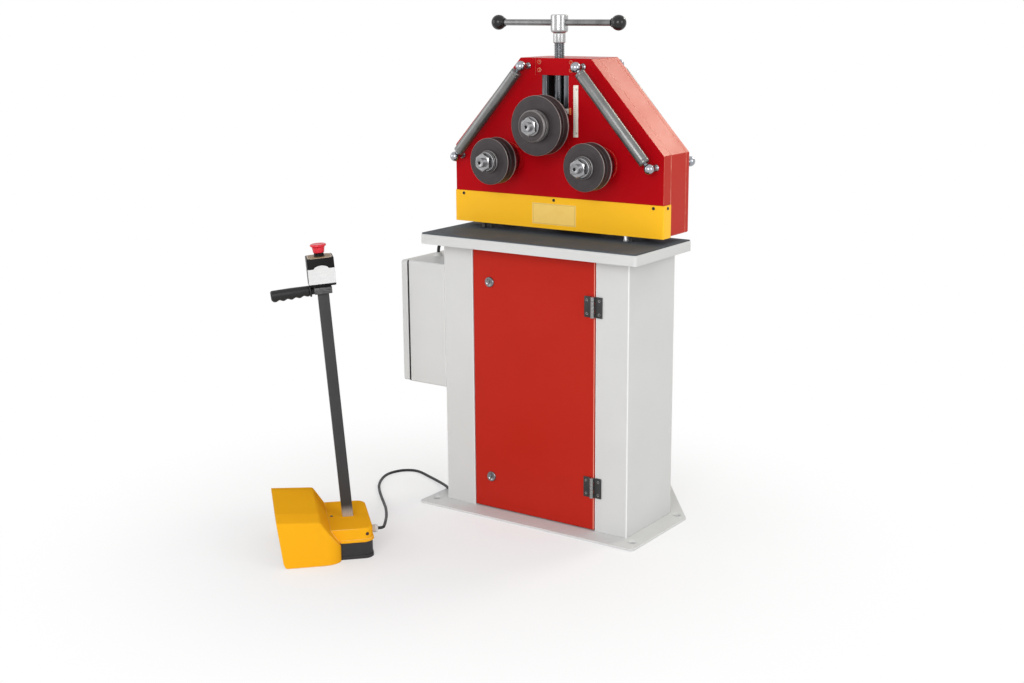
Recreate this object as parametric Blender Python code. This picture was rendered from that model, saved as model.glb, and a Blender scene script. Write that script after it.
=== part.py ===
"""Ring roller on a cabinet stand, with a corded foot control.

Units are metres, +Z is up and the machine faces -Y. The origin is on the
floor, under the middle of the base plate's straight-sided part.
"""

import math

import bmesh
import bpy
from mathutils import Euler, Matrix, Vector

for old in list(bpy.data.objects):
    bpy.data.objects.remove(old, do_unlink=True)


# Fits shared by all pieces
gap = 0.0003                      # between pieces that touch
running_gap = 0.0004              # round a piece that turns or slides
overrun = 0.004                   # by which a cutter passes what it cuts
weld_depth = 0.001                # by which fused shapes sink into each other
sharp_angle = math.radians(35.0)

# Sides of round pieces
large_round = 30
medium_round = 18
small_round = 12

# Base plate
base_half_width = 0.350
base_front = -0.1457
base_side_back = 0.1457
base_back_half_width = 0.168
base_back = 0.385
base_thickness = 0.006
base_corner = 0.012
anchor_radius = 0.008
anchor_front_inset = 0.028        # in from the side edge
anchor_front_setback = 0.0477     # back from the front edge
anchor_middle_inset = 0.032
anchor_middle_setback = 0.0063    # behind the corner where the side turns in
anchor_rear_inset = 0.028         # in from the rear edge's end
anchor_rear_setback = 0.033       # forward of the rear edge

# Cabinet stand
column_half_width = 0.295
column_front = -0.083
column_back = 0.159
column_sheet = 0.0025
column_corner = 0.004
stile_return_extra = 0.001        # by which the stile flange passes the door pan

# Table on the stand
table_half_width = 0.340
table_front = -0.128
table_skirt_bottom = 0.744
table_top = 0.771
table_sheet = 0.003
table_corner = 0.008
mat_thickness = 0.003
mat_inset = 0.001

# Cabinet door
door_half_width = 0.195
door_gap = 0.002
door_bottom = 0.0125
door_top = 0.741
door_depth = 0.018
door_sheet = 0.002

# Butt hinges on the door's right edge
hinge_pin_inset = 0.005           # in from the door's edge
hinge_half_width = 0.0275
hinge_height = 0.0555
hinge_leaf = 0.0025
hinge_knuckle_radius = 0.0055
hinge_pin_radius = 0.0025
hinge_upper_drop = 0.1235         # below the door's top
hinge_lower_rise = 0.1154         # above the door's bottom

# Quarter-turn door locks
lock_inset = 0.055                # in from the door's edge
lock_upper_drop = 0.091
lock_lower_rise = 0.0865
lock_head_radius = 0.0125
lock_head_height = 0.0035
lock_head_edge = 0.001
lock_shank_radius = 0.008
lock_ring_thickness = 0.003
lock_cam_half_width = 0.006
lock_cam_thickness = 0.003
lock_cam_lap = 0.008              # of the cam behind the stile
lock_slot_half_length = 0.007
lock_slot_half_width = 0.0012
lock_slot_depth = 0.0018

# Electrical box on the left side of the stand
box_depth = 0.1237                # out from the stand's side
box_front = -0.083
box_back = 0.167
box_bottom = 0.333
box_top = 0.684
box_wall = 0.002
box_corner = 0.006
gasket_thickness = 0.0062
gasket_inset = 0.002
gasket_width = 0.012
lid_depth = 0.0206
lid_wall = 0.002
lid_edge_inset = 0.002
box_hinge_radius = 0.004
box_hinge_pin_radius = 0.0018
box_hinge_height = 0.040
box_hinge_upper_drop = 0.064
box_hinge_lower_rise = 0.062
box_hinge_tab = 0.003
box_hinge_tab_length = 0.014
box_hinge_standoff = 0.001

# Switchgear in the electrical box
switch_plate_thickness = 0.002
switch_plate_margin = 0.022
switch_post_radius = 0.004
switch_post_length = 0.006
contactor_depth = 0.062
contactor_half_width = 0.0225
contactor_height = 0.080
contactor_y = 0.072
contactor_drop = 0.094            # of its middle below the box's top
terminal_depth = 0.040
terminal_half_width = 0.085
terminal_height = 0.045
terminal_rise = 0.087

# Cable from the electrical box into the stand
box_cable_radius = 0.0045
box_cable_reach = 0.050           # of the gland's axis from the stand's side
box_cable_y = 0.010
box_cable_bend = 0.034
box_cable_gland_radius = 0.010
box_cable_gland_height = 0.010
box_cable_steps = 6

# Head plates and cover
head_lift = 0.0187                # over the mat, on four studs
head_half_width = 0.3294
head_shoulder_height = 0.2103     # above the head's bottom
head_height = 0.4505
head_top_half_width = 0.110
head_corner = 0.004
front_plate_face = 0.0275
front_plate_thickness = 0.037
rear_plate_face = 0.1458
rear_plate_thickness = 0.0168
cover_sheet = 0.002
head_stud_x = 0.225
head_stud_radius = 0.005

# Slot, guide bars and bridge in the front plate
slot_half_width = 0.0415
slot_rise = 0.1923                # above the head's bottom
bridge_depth = 0.0447
guide_inner = 0.0265
guide_recess = 0.006
bridge_half_width = 0.0623
bridge_back = 0.072

# Rolls and their shafts
lower_roll_rise = 0.1807          # above the head's bottom
lower_roll_radius = 0.062
lower_roll_face = -0.0684
lower_shaft_face = -0.1133
upper_roll_rise = 0.1001          # above the lower rolls' axes
upper_roll_radius = 0.078
upper_roll_face = -0.0654
upper_shaft_face = -0.112
roll_front_width = 0.010
roll_groove_width = 0.006
roll_groove_depth = 0.018
roll_rear_width = 0.024
shaft_radius = 0.015
shaft_shoulder_radius = 0.028
shaft_end_chamfer = 0.0015
shaft_centre_radius = 0.004
shaft_centre_depth = 0.006
lower_shaft_tail = 0.0022         # short of the rear plate's back
upper_collar_radius = 0.042
upper_collar_length = 0.0222
lower_collar_radius = 0.030
lower_collar_length = 0.0110
collar_neck = 0.0025              # by which the neck between two rings is lower
collar_ring = 0.004
collar_groove = 0.002
upper_nut_radius = 0.026
upper_nut_length = 0.0150
lower_nut_radius = 0.0255
lower_nut_length = 0.0210
nut_chamfer = 0.002
nut_slot_half_width = 0.003
nut_slot_depth = 0.0025
bearing_boss_radius = 0.046
bearing_boss_height = 0.008

# Gear train behind the front plate
gear_module = 0.0045
roll_gear_teeth = 40
drive_gear_teeth = 26
gear_backlash = 0.0004
gear_front = 0.105
gear_width = 0.020
pressure_angle = math.radians(20.0)
tooth_foot_share = 1.25           # foot of a tooth, in modules
drive_shaft_radius = 0.0125
drive_shaft_front = 0.100

# Carriage of the upper roll
carriage_half_height = 0.0455
carriage_nose = 0.005             # by which it stands in front of the plate
carriage_boss_radius = 0.032
carriage_boss_height = 0.0077
carriage_flange_half_width = 0.050
carriage_flange = 0.020
shaft_tail_collar_radius = 0.022
shaft_tail_collar = 0.008
pointer_tip_inner = 0.0417
pointer_tip_outer = 0.0473
pointer_drop = 0.005              # below the carriage's top
pointer_tip_height = 0.013
pointer_arm_height = 0.007
pointer_arm_inner = 0.008
pointer_thickness = 0.0026

# Lead screw, hub and cross handle
screw_y = 0.0475
screw_radius = 0.014
screw_journal_radius = 0.009
screw_journal_length = 0.022
neck_length = 0.027
neck_radius = 0.0163
hub_below_handle = 0.0257
hub_above_handle = 0.0209
hub_radius = 0.023
hub_chamfer = 0.004
handle_rise = 0.0908              # above the head's top
handle_radius = 0.00825
knob_left_x = -0.194
knob_right_x = 0.180
knob_radius = 0.020
knob_bore_depth = 0.024
knob_flat = 0.0012

# Yellow guard below the rolls
guard_drop = 0.0017               # below the head's bottom
guard_height = 0.086
guard_sheet = 0.002
guard_back = 0.064

# Brace tubes with ball ends, in front of and behind the head
strut_upper_inset = 0.0245        # in from the end of the head's top edge
strut_upper_drop = 0.0212
strut_lower_inset = 0.0234        # in from the head's side
strut_lower_drop = 0.0298         # below the head's shoulder
strut_front_y = -0.0085
strut_rear_y = 0.211
strut_ball_radius = 0.0138
strut_tube_radius = 0.0135
strut_tube_start = 0.0235         # from the ball's centre
strut_tube_chamfer = 0.003
strut_neck_radius = 0.005
strut_collar_radius = 0.008
strut_collar_length = 0.007
strut_round = 12

# Worm gearbox and motor behind the head
gearbox_axis_x = -0.056
gearbox_axis_y = 0.240
gearbox_radius = 0.062
gearbox_back = 0.296
gearbox_flange_radius = 0.0655
gearbox_flange = 0.012
worm_housing_radius = 0.043
worm_housing_half_height = 0.066
gearbox_bore_end = 0.228
motor_flange_radius = 0.066
motor_flange = 0.012
motor_radius = 0.062
motor_fin_depth = 0.006
motor_fins = 14
motor_length = 0.150
motor_cowl_radius = 0.064
motor_cowl_length = 0.042
motor_chamfer = 0.006
terminal_box_half_width = 0.036
terminal_box_height = 0.070
terminal_box_depth = 0.030
terminal_box_drop = 0.080

# Foot control: place on the floor and turn about the vertical
pedal_x = -0.3097
pedal_y = -0.5172
pedal_turn = math.radians(-43.7)

# Foot control base and hood, in its own frame with the opening at -Y
pedal_rear_half_width = 0.111
pedal_rear_back = 0.068
pedal_rear_front = -0.038
pedal_rear_corner = 0.025
pedal_seam_z = 0.045
pedal_rear_top = 0.0814
pedal_wall = 0.004
pedal_floor = 0.006
pedal_floor_front = -0.158
hood_half_width = 0.1448
hood_flat_half_width = 0.0961
hood_foot_lift = 0.0005
hood_front_bottom_y = -0.1625
hood_front_shoulder_y = -0.1780
hood_front_y = -0.1793
hood_front_shoulder_z = 0.1214
hood_front_z = 0.1313
hood_ridge_y = -0.0678
hood_ridge_shoulder_z = 0.1156
hood_ridge_z = 0.1247
hood_rear_y = -0.040
hood_rear_shoulder_z = 0.0740

# Treadles on a cross rod
treadle_axis_y = -0.060
treadle_axis_z = 0.024
treadle_rod_radius = 0.003
treadle_barrel_radius = 0.0065
treadle_front_y = -0.150
treadle_front_z = 0.041
treadle_thickness = 0.007
treadle_inner_x = 0.0045
treadle_outer_x = 0.131
treadle_lug = 0.006
treadle_lug_outer = 0.1385
treadle_lug_half_depth = 0.006
treadle_lug_top = 0.0295

# Pole of the foot control, in a frame along the pole
pole_foot_y = 0.0124
pole_lean = math.radians(4.07)
pole_half_width = 0.014
pole_wall = 0.0025
pole_corner = 0.003
pole_seat_lift = 0.0015
pole_top = 0.6205                 # along the pole, from the foot control's top
clamp_drop = 0.0065               # below the pole's end
clamp_height = 0.020
clamp_half_width = 0.0225
clamp_corner = 0.004

# Hand grip on the pole
grip_drop = 0.0145                # below the pole's end
grip_start = 0.033
grip_end = 0.131
grip_thin_radius = 0.0115
grip_thick_radius = 0.01325
grip_neck_radius = 0.008
grip_flange_radius = 0.0165
grip_flange = 0.004
grip_lobe_height = 0.0035
grip_lobes = 4
grip_end_round = 0.003

# Push-button housing on top of the pole
pendant_lift = 0.0025             # over the pole's end
pendant_height = 0.065
pendant_half_depth = 0.034
pendant_half_width = 0.033
pendant_corner = 0.006
cover_height = 0.041
cover_thickness = 0.006
cover_arch_half_width = 0.022
cover_arch_rise = 0.012
button_collar_radius = 0.0125
button_collar_height = 0.012
button_bore_radius = 0.0065
button_bore_depth = 0.010
button_travel = 0.004
button_foot_radius = 0.0147
button_recess_radius = 0.0131
button_rim_radius = 0.0205
button_cone_height = 0.0165
button_head_height = 0.0225
button_dome_radius = 0.017

# Glands and the cord between foot control and stand
cord_radius = 0.004
gland_x = 0.050
gland_z = 0.0568
gland_radius = 0.011
gland_length = 0.018
gland_end_radius = 0.008
gland_hex_length = 0.008
stand_gland_y = -0.041
stand_gland_z = 0.018
stand_gland_radius = 0.009
stand_gland_length = 0.006
stand_gland_shank_radius = 0.006
cord_point_step = 0.023


def share_of(start, stop, share):
    return start + (stop - start) * share


def material(name, colour, roughness, metallic=0.0):
    """One Principled material per name."""
    found = bpy.data.materials.get(name)
    if found:
        return found
    made = bpy.data.materials.new(name)
    made.use_nodes = True
    shader = made.node_tree.nodes["Principled BSDF"]
    shader.inputs["Base Color"].default_value = (*colour, 1.0)
    shader.inputs["Roughness"].default_value = roughness
    shader.inputs["Metallic"].default_value = metallic
    made.diffuse_color = (*colour, 1.0)
    return made


def pale_paint():
    return material("pale_paint", (0.68, 0.68, 0.67), 0.45)


def head_red():
    return material("head_red", (0.36, 0.004, 0.012), 0.35)


def door_red():
    return material("door_red", (0.50, 0.025, 0.02), 0.4)


def guard_yellow():
    return material("guard_yellow", (0.95, 0.47, 0.02), 0.4)


def pedal_yellow():
    return material("pedal_yellow", (0.93, 0.44, 0.03), 0.4)


def mat_rubber():
    return material("mat_rubber", (0.10, 0.10, 0.10), 0.8)


def roll_steel():
    return material("roll_steel", (0.11, 0.10, 0.10), 0.45, 0.8)


def bright_steel():
    return material("bright_steel", (0.62, 0.62, 0.62), 0.28, 1.0)


def dark_steel():
    return material("dark_steel", (0.12, 0.12, 0.12), 0.45, 0.9)


def tube_grey():
    return material("tube_grey", (0.30, 0.31, 0.30), 0.4, 0.7)


def black_plastic():
    return material("black_plastic", (0.02, 0.02, 0.02), 0.4)


def pale_plastic():
    return material("pale_plastic", (0.75, 0.75, 0.74), 0.45)


def button_red():
    return material("button_red", (0.70, 0.01, 0.02), 0.3)


def drive_grey():
    return material("drive_grey", (0.20, 0.23, 0.26), 0.5)


def cord_black():
    return material("cord_black", (0.02, 0.02, 0.02), 0.55)


def pointer_white():
    return material("pointer_white", (0.85, 0.85, 0.83), 0.4)


def frame_at(name, location, rotation=(0, 0, 0), parent=None):
    """An empty that carries pieces modelled in its own frame."""
    empty = bpy.data.objects.new(name, None)
    bpy.context.scene.collection.objects.link(empty)
    empty.location = location
    empty.rotation_euler = Euler(rotation)
    empty.parent = parent
    return empty


def object_from(name, bm, paint, parent):
    bmesh.ops.recalc_face_normals(bm, faces=bm.faces[:])
    mesh = bpy.data.meshes.new(name)
    bm.to_mesh(mesh)
    bm.free()
    mesh.materials.append(paint)
    mesh.shade_smooth()
    mesh.set_sharp_from_angle(angle=sharp_angle)
    made = bpy.data.objects.new(name, mesh)
    bpy.context.scene.collection.objects.link(made)
    made.parent = parent
    return made


def piece(name, bm, paint, parent=None):
    return object_from(name, bm, paint, parent)


def combine(target, bm, operation):
    """Cut a shape out of a piece, or fuse it to the piece."""
    count = len(target.modifiers) + 1
    tool_name = f"{target.name}_tool_{count}"
    tool = object_from(tool_name, bm, target.data.materials[0], target.parent)
    tool.hide_render = True
    tool.display_type = "WIRE"
    boolean = target.modifiers.new(tool_name, "BOOLEAN")
    boolean.operation = operation
    boolean.solver = "EXACT"
    boolean.object = tool


def cut(target, bm):
    combine(target, bm, "DIFFERENCE")


def fuse(target, bm):
    combine(target, bm, "UNION")


def along(axis, first, second, height):
    """A point from two cross coordinates and one along the axis."""
    if axis == "X":
        return Vector((height, first, second))
    if axis == "Y":
        return Vector((first, height, second))
    return Vector((first, second, height))


def prism(outline, axis, start, stop):
    """An outline in the plane across the axis, extruded from start to stop."""
    bm = bmesh.new()
    near = [bm.verts.new(along(axis, a, b, start)) for a, b in outline]
    far = [bm.verts.new(along(axis, a, b, stop)) for a, b in outline]
    bm.faces.new(near)
    bm.faces.new(far)
    for i in range(len(outline)):
        j = (i + 1) % len(outline)
        bm.faces.new((near[i], near[j], far[j], far[i]))
    return bm


def rectangle(first_start, first_stop, second_start, second_stop):
    return [
        (first_start, second_start),
        (first_stop, second_start),
        (first_stop, second_stop),
        (first_start, second_stop),
    ]


def block(x_range, y_range, z_range):
    return prism(rectangle(*x_range, *y_range), "Z", *z_range)


def both_sides(half):
    return (-half, half)


def rounded(outline, radii, steps=3):
    """The outline with an arc at each corner that has a radius."""
    if not isinstance(radii, (list, tuple)):
        radii = [radii] * len(outline)
    made = []
    for i, corner in enumerate(outline):
        here = Vector(corner)
        if radii[i] == 0:
            made.append(tuple(here))
            continue
        before = (Vector(outline[i - 1]) - here).normalized()
        after = (Vector(outline[(i + 1) % len(outline)]) - here).normalized()
        half_angle = before.angle(after) / 2
        reach = radii[i] / math.tan(half_angle)
        centre = here + (before + after).normalized() * (radii[i] / math.sin(half_angle))
        first = here + before * reach - centre
        last = here + after * reach - centre
        turn = first.angle_signed(last)
        for step in range(steps + 1):
            arm = Matrix.Rotation(-turn * step / steps, 2) @ first
            made.append(tuple(centre + arm))
    return made


def turned(profile, axis, centre=(0, 0, 0), steps=medium_round):
    """A turned shape from (radius, height) pairs.

    It closes on the axis where the profile starts and ends there, and is a
    ring where the profile starts and ends away from it.
    """
    bm = bmesh.new()
    offset = Vector(centre)
    rings = []
    for radius, height in profile:
        if radius == 0:
            rings.append([bm.verts.new(offset + along(axis, 0, 0, height))])
            continue
        ring = []
        for step in range(steps):
            angle = 2 * math.pi * step / steps
            spot = along(axis, radius * math.cos(angle), radius * math.sin(angle), height)
            ring.append(bm.verts.new(offset + spot))
        rings.append(ring)
    pairs = list(zip(rings, rings[1:]))
    if len(rings[0]) > 1:
        pairs.append((rings[-1], rings[0]))
    for lower, upper in pairs:
        for step in range(steps):
            after = (step + 1) % steps
            if len(lower) == 1 and len(upper) > 1:
                bm.faces.new((lower[0], upper[step], upper[after]))
            elif len(upper) == 1 and len(lower) > 1:
                bm.faces.new((lower[step], lower[after], upper[0]))
            elif len(lower) > 1:
                bm.faces.new((lower[step], lower[after], upper[after], upper[step]))
    return bm


def disc(radius, axis, start, stop, centre=(0, 0, 0), steps=medium_round):
    return turned([(0, start), (radius, start), (radius, stop), (0, stop)], axis, centre, steps)


def ball_profile(radius, first_angle, last_angle, steps):
    """Points of a ball's outline, with angles from the lower pole."""
    made = []
    for step in range(steps + 1):
        angle = share_of(first_angle, last_angle, step / steps)
        made.append((radius * math.sin(angle), -radius * math.cos(angle)))
    return made


def aimed(bm, start, stop):
    """A shape made along Z from the origin, laid from start towards stop."""
    direction = Vector(stop) - Vector(start)
    turn = direction.to_track_quat("Z", "Y").to_matrix().to_4x4()
    bmesh.ops.transform(bm, matrix=Matrix.Translation(start) @ turn, verts=bm.verts[:])
    return bm


def joined(*shapes):
    """Several closed shapes as one mesh, for a cutter."""
    whole = bmesh.new()
    for shape in shapes:
        mesh = bpy.data.meshes.new("joined_shape")
        shape.to_mesh(mesh)
        shape.free()
        whole.from_mesh(mesh)
        bpy.data.meshes.remove(mesh)
    return whole


def tube(name, points, radius, paint):
    """A round tube through the points, with closed ends."""
    curve = bpy.data.curves.new(name, "CURVE")
    curve.dimensions = "3D"
    curve.bevel_depth = radius
    curve.bevel_resolution = 2
    curve.use_fill_caps = True
    spline = curve.splines.new("POLY")
    spline.points.add(len(points) - 1)
    for spot, place in zip(spline.points, points):
        spot.co = (*place, 1.0)
    curve.materials.append(paint)
    made = bpy.data.objects.new(name, curve)
    bpy.context.scene.collection.objects.link(made)
    return made


def smooth_route(route, step):
    """Even points on a smooth curve through the route, with straight ends.

    The first and the last stretch stay straight, so the cord meets its
    glands squarely.
    """
    fine_steps = 24
    fine = []
    for i in range(1, len(route) - 2):
        before, here, there, after = (Vector(spot) for spot in route[i - 1:i + 3])
        for k in range(fine_steps):
            t = k / fine_steps
            fine.append(
                (2 * here + (there - before) * t
                 + (2 * before - 5 * here + 4 * there - after) * t ** 2
                 + (3 * here - before - 3 * there + after) * t ** 3) / 2
            )
    fine.append(Vector(route[-2]))
    lengths = [0.0]
    for here, there in zip(fine, fine[1:]):
        lengths.append(lengths[-1] + (there - here).length)
    count = max(2, round(lengths[-1] / step))
    made = [Vector(route[0])]
    i = 0
    for k in range(count + 1):
        wanted = lengths[-1] * k / count
        while i < len(fine) - 2 and lengths[i + 1] < wanted:
            i += 1
        part = (wanted - lengths[i]) / (lengths[i + 1] - lengths[i])
        made.append(fine[i].lerp(fine[i + 1], min(part, 1.0)))
    made.append(Vector(route[-1]))
    return made


def base_plate():
    outline = [
        (-base_half_width, base_front),
        (base_half_width, base_front),
        (base_half_width, base_side_back),
        (base_back_half_width, base_back),
        (-base_back_half_width, base_back),
        (-base_half_width, base_side_back),
    ]
    plate = piece("base_plate", prism(rounded(outline, base_corner), "Z", 0, base_thickness),
                  pale_paint())
    spots = (
        (base_half_width - anchor_front_inset, base_front + anchor_front_setback),
        (base_half_width - anchor_middle_inset, base_side_back + anchor_middle_setback),
        (base_back_half_width - anchor_rear_inset, base_back - anchor_rear_setback),
    )
    holes = []
    for side in (-1, 1):
        for x, y in spots:
            holes.append(disc(anchor_radius, "Z", -overrun, base_thickness + overrun,
                              (side * x, y, 0), small_round))
    cut(plate, joined(*holes))


column_bottom = base_thickness + gap
mat_top = table_top + mat_thickness
column_top = table_top - table_sheet - gap
door_opening_half_width = door_half_width + door_gap
door_opening_top = door_top + door_gap
stile_flange_back = column_front + door_depth + stile_return_extra


def cabinet_shell():
    corners = [column_corner] * 4
    outline = rounded(rectangle(*both_sides(column_half_width), column_front, column_back), corners)
    shell = piece("cabinet_shell", prism(outline, "Z", column_bottom, column_top), pale_paint())
    inside = (column_front + column_sheet, column_back - column_sheet)
    cut(shell, block(both_sides(column_half_width - column_sheet), inside,
                     (column_bottom - overrun, column_top - column_sheet)))
    cut(shell, block(both_sides(door_opening_half_width),
                     (column_front - overrun, column_front + column_sheet + overrun),
                     (column_bottom - overrun, door_opening_top)))
    for side in (-1, 1):
        edges = sorted((side * door_opening_half_width,
                        side * (door_opening_half_width + column_sheet)))
        fuse(shell, block(edges, (column_front + column_sheet - weld_depth, stile_flange_back),
                          (column_bottom, door_opening_top)))
    cut(shell, disc(stand_gland_shank_radius + gap, "X", -column_half_width - overrun,
                    -column_half_width + column_sheet + overrun,
                    (0, stand_gland_y, stand_gland_z), small_round))


def table():
    outline = rectangle(*both_sides(table_half_width), table_front, column_back)
    outline = rounded(outline, [table_corner, table_corner, 0, 0])
    top = piece("table_top", prism(outline, "Z", table_skirt_bottom, table_top), pale_paint())
    cut(top, block(both_sides(table_half_width - table_sheet),
                   (table_front + table_sheet, column_back + overrun),
                   (table_skirt_bottom - overrun, table_top - table_sheet)))
    inset = rectangle(*both_sides(table_half_width - mat_inset), table_front + mat_inset,
                      column_back - mat_inset)
    inset = rounded(inset, [table_corner, table_corner, 0, 0])
    piece("rubber_mat", prism(inset, "Z", table_top + gap, mat_top), mat_rubber())


hinge_pin_x = door_half_width - hinge_pin_inset
hinge_pin_y = column_front - gap - hinge_knuckle_radius
hinge_upper_z = door_top - hinge_upper_drop
hinge_lower_z = door_bottom + hinge_lower_rise
lock_x = -door_half_width + lock_inset
lock_upper_z = door_top - lock_upper_drop
lock_lower_z = door_bottom + lock_lower_rise


def hinge_leaf_shape(side, plate_back, knuckle_ends):
    """One leaf in the pin's frame: a plate beside the pin and its knuckles."""
    plate_start = hinge_knuckle_radius + running_gap
    plate_front = hinge_knuckle_radius - hinge_leaf
    plate = block(sorted((side * plate_start, side * hinge_half_width)),
                  (plate_front, plate_back), both_sides(hinge_height / 2))
    shapes = [plate]
    tab_range = (plate_front + weld_depth / 4, hinge_knuckle_radius - weld_depth / 4)
    for start, stop in knuckle_ends:
        shapes.append(block(sorted((0, side * (plate_start + weld_depth))), tab_range,
                            (start, stop)))
        shapes.append(disc(hinge_knuckle_radius, "Z", start - weld_depth / 4,
                           stop + weld_depth / 4, steps=small_round))
    return shapes


def frame_leaf(name, z):
    pin = frame_at(f"{name}_pin", (hinge_pin_x, hinge_pin_y, z))
    half = hinge_height / 2 - weld_depth
    quarter = half / 2
    shapes = hinge_leaf_shape(1, hinge_knuckle_radius, ((-half, -quarter), (quarter, half)))
    leaf = piece(name, shapes[0], dark_steel(), pin)
    for shape in shapes[1:]:
        fuse(leaf, shape)
    fuse(leaf, disc(hinge_pin_radius, "Z", -half + weld_depth, half - weld_depth,
                    steps=small_round))


def cabinet_door():
    """The door's frame is on the hinge pins, at the door's mid height."""
    pins = frame_at("door_pins", (hinge_pin_x, hinge_pin_y, 0))
    left = -door_half_width - hinge_pin_x
    right = door_half_width - hinge_pin_x
    face = column_front - hinge_pin_y
    door = piece("cabinet_door",
                 block((left, right), (face, face + door_depth), (door_bottom, door_top)),
                 door_red(), pins)
    cut(door, block((left + door_sheet, right - door_sheet),
                    (face + door_sheet, face + door_depth + overrun),
                    (door_bottom + door_sheet, door_top - door_sheet)))
    quarter = hinge_height / 4 - 2 * weld_depth
    for z in (hinge_lower_z, hinge_upper_z):
        for shape in hinge_leaf_shape(-1, face + weld_depth, ((-quarter, quarter),)):
            bmesh.ops.translate(shape, vec=(0, 0, z), verts=shape.verts[:])
            fuse(door, shape)
        cut(door, disc(hinge_pin_radius + running_gap, "Z", z - quarter - overrun,
                       z + quarter + overrun, steps=small_round))
    for z in (lock_lower_z, lock_upper_z):
        cut(door, disc(lock_shank_radius + running_gap, "Y", face - overrun,
                       face + door_sheet + overrun, (lock_x - hinge_pin_x, 0, z), medium_round))
    for name, z in (("door_lock_lower", lock_lower_z), ("door_lock_upper", lock_upper_z)):
        door_lock(name, z)


def door_lock(name, z):
    """A quarter-turn lock; its cam reaches behind the stile's flange."""
    axis = frame_at(f"{name}_axis", (lock_x, column_front, z))
    cam_start = stile_flange_back - column_front + running_gap
    cam_end = cam_start + lock_cam_thickness
    ring_start = door_sheet + running_gap
    ring_end = ring_start + lock_ring_thickness
    profile = [
        (0, -lock_head_height),
        (lock_head_radius - lock_head_edge, -lock_head_height),
        (lock_head_radius, -lock_head_height + lock_head_edge),
        (lock_head_radius, -running_gap),
        (lock_shank_radius, -running_gap),
        (lock_shank_radius, ring_start),
        (lock_head_radius, ring_start),
        (lock_head_radius, ring_end),
        (lock_shank_radius, ring_end),
        (lock_shank_radius, cam_end),
        (0, cam_end),
    ]
    lock = piece(name, turned(profile, "Y", steps=small_round), bright_steel(), axis)
    reach = column_cam_reach()
    fuse(lock, block((-reach, 0), (cam_start, cam_end - weld_depth / 2),
                     both_sides(lock_cam_half_width)))
    cut(lock, block(both_sides(lock_slot_half_width),
                    (-lock_head_height - overrun, -lock_head_height + lock_slot_depth),
                    both_sides(lock_slot_half_length)))


def column_cam_reach():
    return lock_x + door_opening_half_width + lock_cam_lap


box_inner_x = -column_half_width - gap
box_outer_x = -column_half_width - box_depth
box_hinge_upper_z = box_top - box_hinge_upper_drop
box_hinge_lower_z = box_bottom + box_hinge_lower_rise
box_cable_x = -column_half_width - box_cable_reach
gasket_outer_x = box_outer_x - gasket_thickness
lid_inner_x = gasket_outer_x - gap
lid_outer_x = lid_inner_x - lid_depth
box_pin_x = box_outer_x - gasket_thickness / 2
box_pin_y = box_back + box_hinge_standoff + box_hinge_radius


def box_hinge_tab_shape(x_range, y_range, z_range):
    """A strap from a wall to the pin, a little shorter than its knuckle."""
    inset = weld_depth / 4
    return block(sorted(x_range), y_range, (z_range[0] + inset, z_range[1] - inset))


def electrical_box():
    outline = rounded(rectangle(box_front, box_back, box_bottom, box_top), box_corner)
    shell = piece("electrical_box", prism(outline, "X", box_outer_x, box_inner_x), pale_paint())
    cut(shell, block((box_outer_x - overrun, box_inner_x - box_wall),
                     (box_front + box_wall, box_back - box_wall),
                     (box_bottom + box_wall, box_top - box_wall)))
    fuse(shell, disc(box_cable_gland_radius, "Z", box_top - box_wall / 2,
                     box_top + box_cable_gland_height, (box_cable_x, box_cable_y, 0), small_round))
    back = box_back + box_hinge_standoff + box_hinge_tab
    straps, knuckles, pins = [], [], []
    for z in (box_hinge_lower_z, box_hinge_upper_z):
        middle = z + box_hinge_height / 2
        top = z + box_hinge_height - gap
        straps.append(box_hinge_tab_shape((box_pin_x, box_outer_x + box_hinge_tab_length),
                                          (box_back - box_wall / 2, back), (z, middle)))
        knuckles.append(disc(box_hinge_radius, "Z", z, middle, (box_pin_x, box_pin_y, 0),
                             small_round))
        pins.append(disc(box_hinge_pin_radius, "Z", middle - weld_depth, top,
                         (box_pin_x, box_pin_y, 0), small_round))
    fuse(shell, joined(*straps))
    fuse(shell, joined(*knuckles))
    fuse(shell, joined(*pins))


def box_gasket():
    outer = rectangle(box_front + gasket_inset, box_back - gasket_inset,
                      box_bottom + gasket_inset, box_top - gasket_inset)
    seal = piece("box_gasket", prism(outer, "X", gasket_outer_x, box_outer_x - gap),
                 mat_rubber())
    edge = gasket_inset + gasket_width
    cut(seal, block((gasket_outer_x - overrun, box_outer_x + overrun),
                    (box_front + edge, box_back - edge), (box_bottom + edge, box_top - edge)))


def electrical_box_door():
    pin = frame_at("box_door_pins", (box_pin_x, box_pin_y, 0))
    x_outer, x_inner = lid_outer_x - box_pin_x, lid_inner_x - box_pin_x
    front, back = box_front - box_pin_y, box_back - box_pin_y
    bottom, top = box_bottom + lid_edge_inset, box_top - lid_edge_inset
    outline = rounded(rectangle(front, back, bottom, top), box_corner)
    lid = piece("electrical_box_door", prism(outline, "X", x_outer, x_inner), pale_paint(), pin)
    cut(lid, block((x_outer + lid_wall, x_inner + overrun), (front + lid_wall, back - lid_wall),
                   (bottom + lid_wall, top - lid_wall)))
    strap_back = back + box_hinge_standoff + box_hinge_tab
    straps, knuckles, bores = [], [], []
    for z in (box_hinge_lower_z, box_hinge_upper_z):
        start = z + box_hinge_height / 2 + running_gap
        stop = z + box_hinge_height
        straps.append(box_hinge_tab_shape((x_inner - box_hinge_tab_length / 2, 0),
                                          (back - lid_wall / 2, strap_back), (start, stop)))
        knuckles.append(disc(box_hinge_radius, "Z", start, stop, steps=small_round))
        bores.append(disc(box_hinge_pin_radius + running_gap, "Z", start - overrun,
                          stop + overrun, steps=small_round))
    fuse(lid, joined(*straps))
    fuse(lid, joined(*knuckles))
    cut(lid, joined(*bores))


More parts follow.
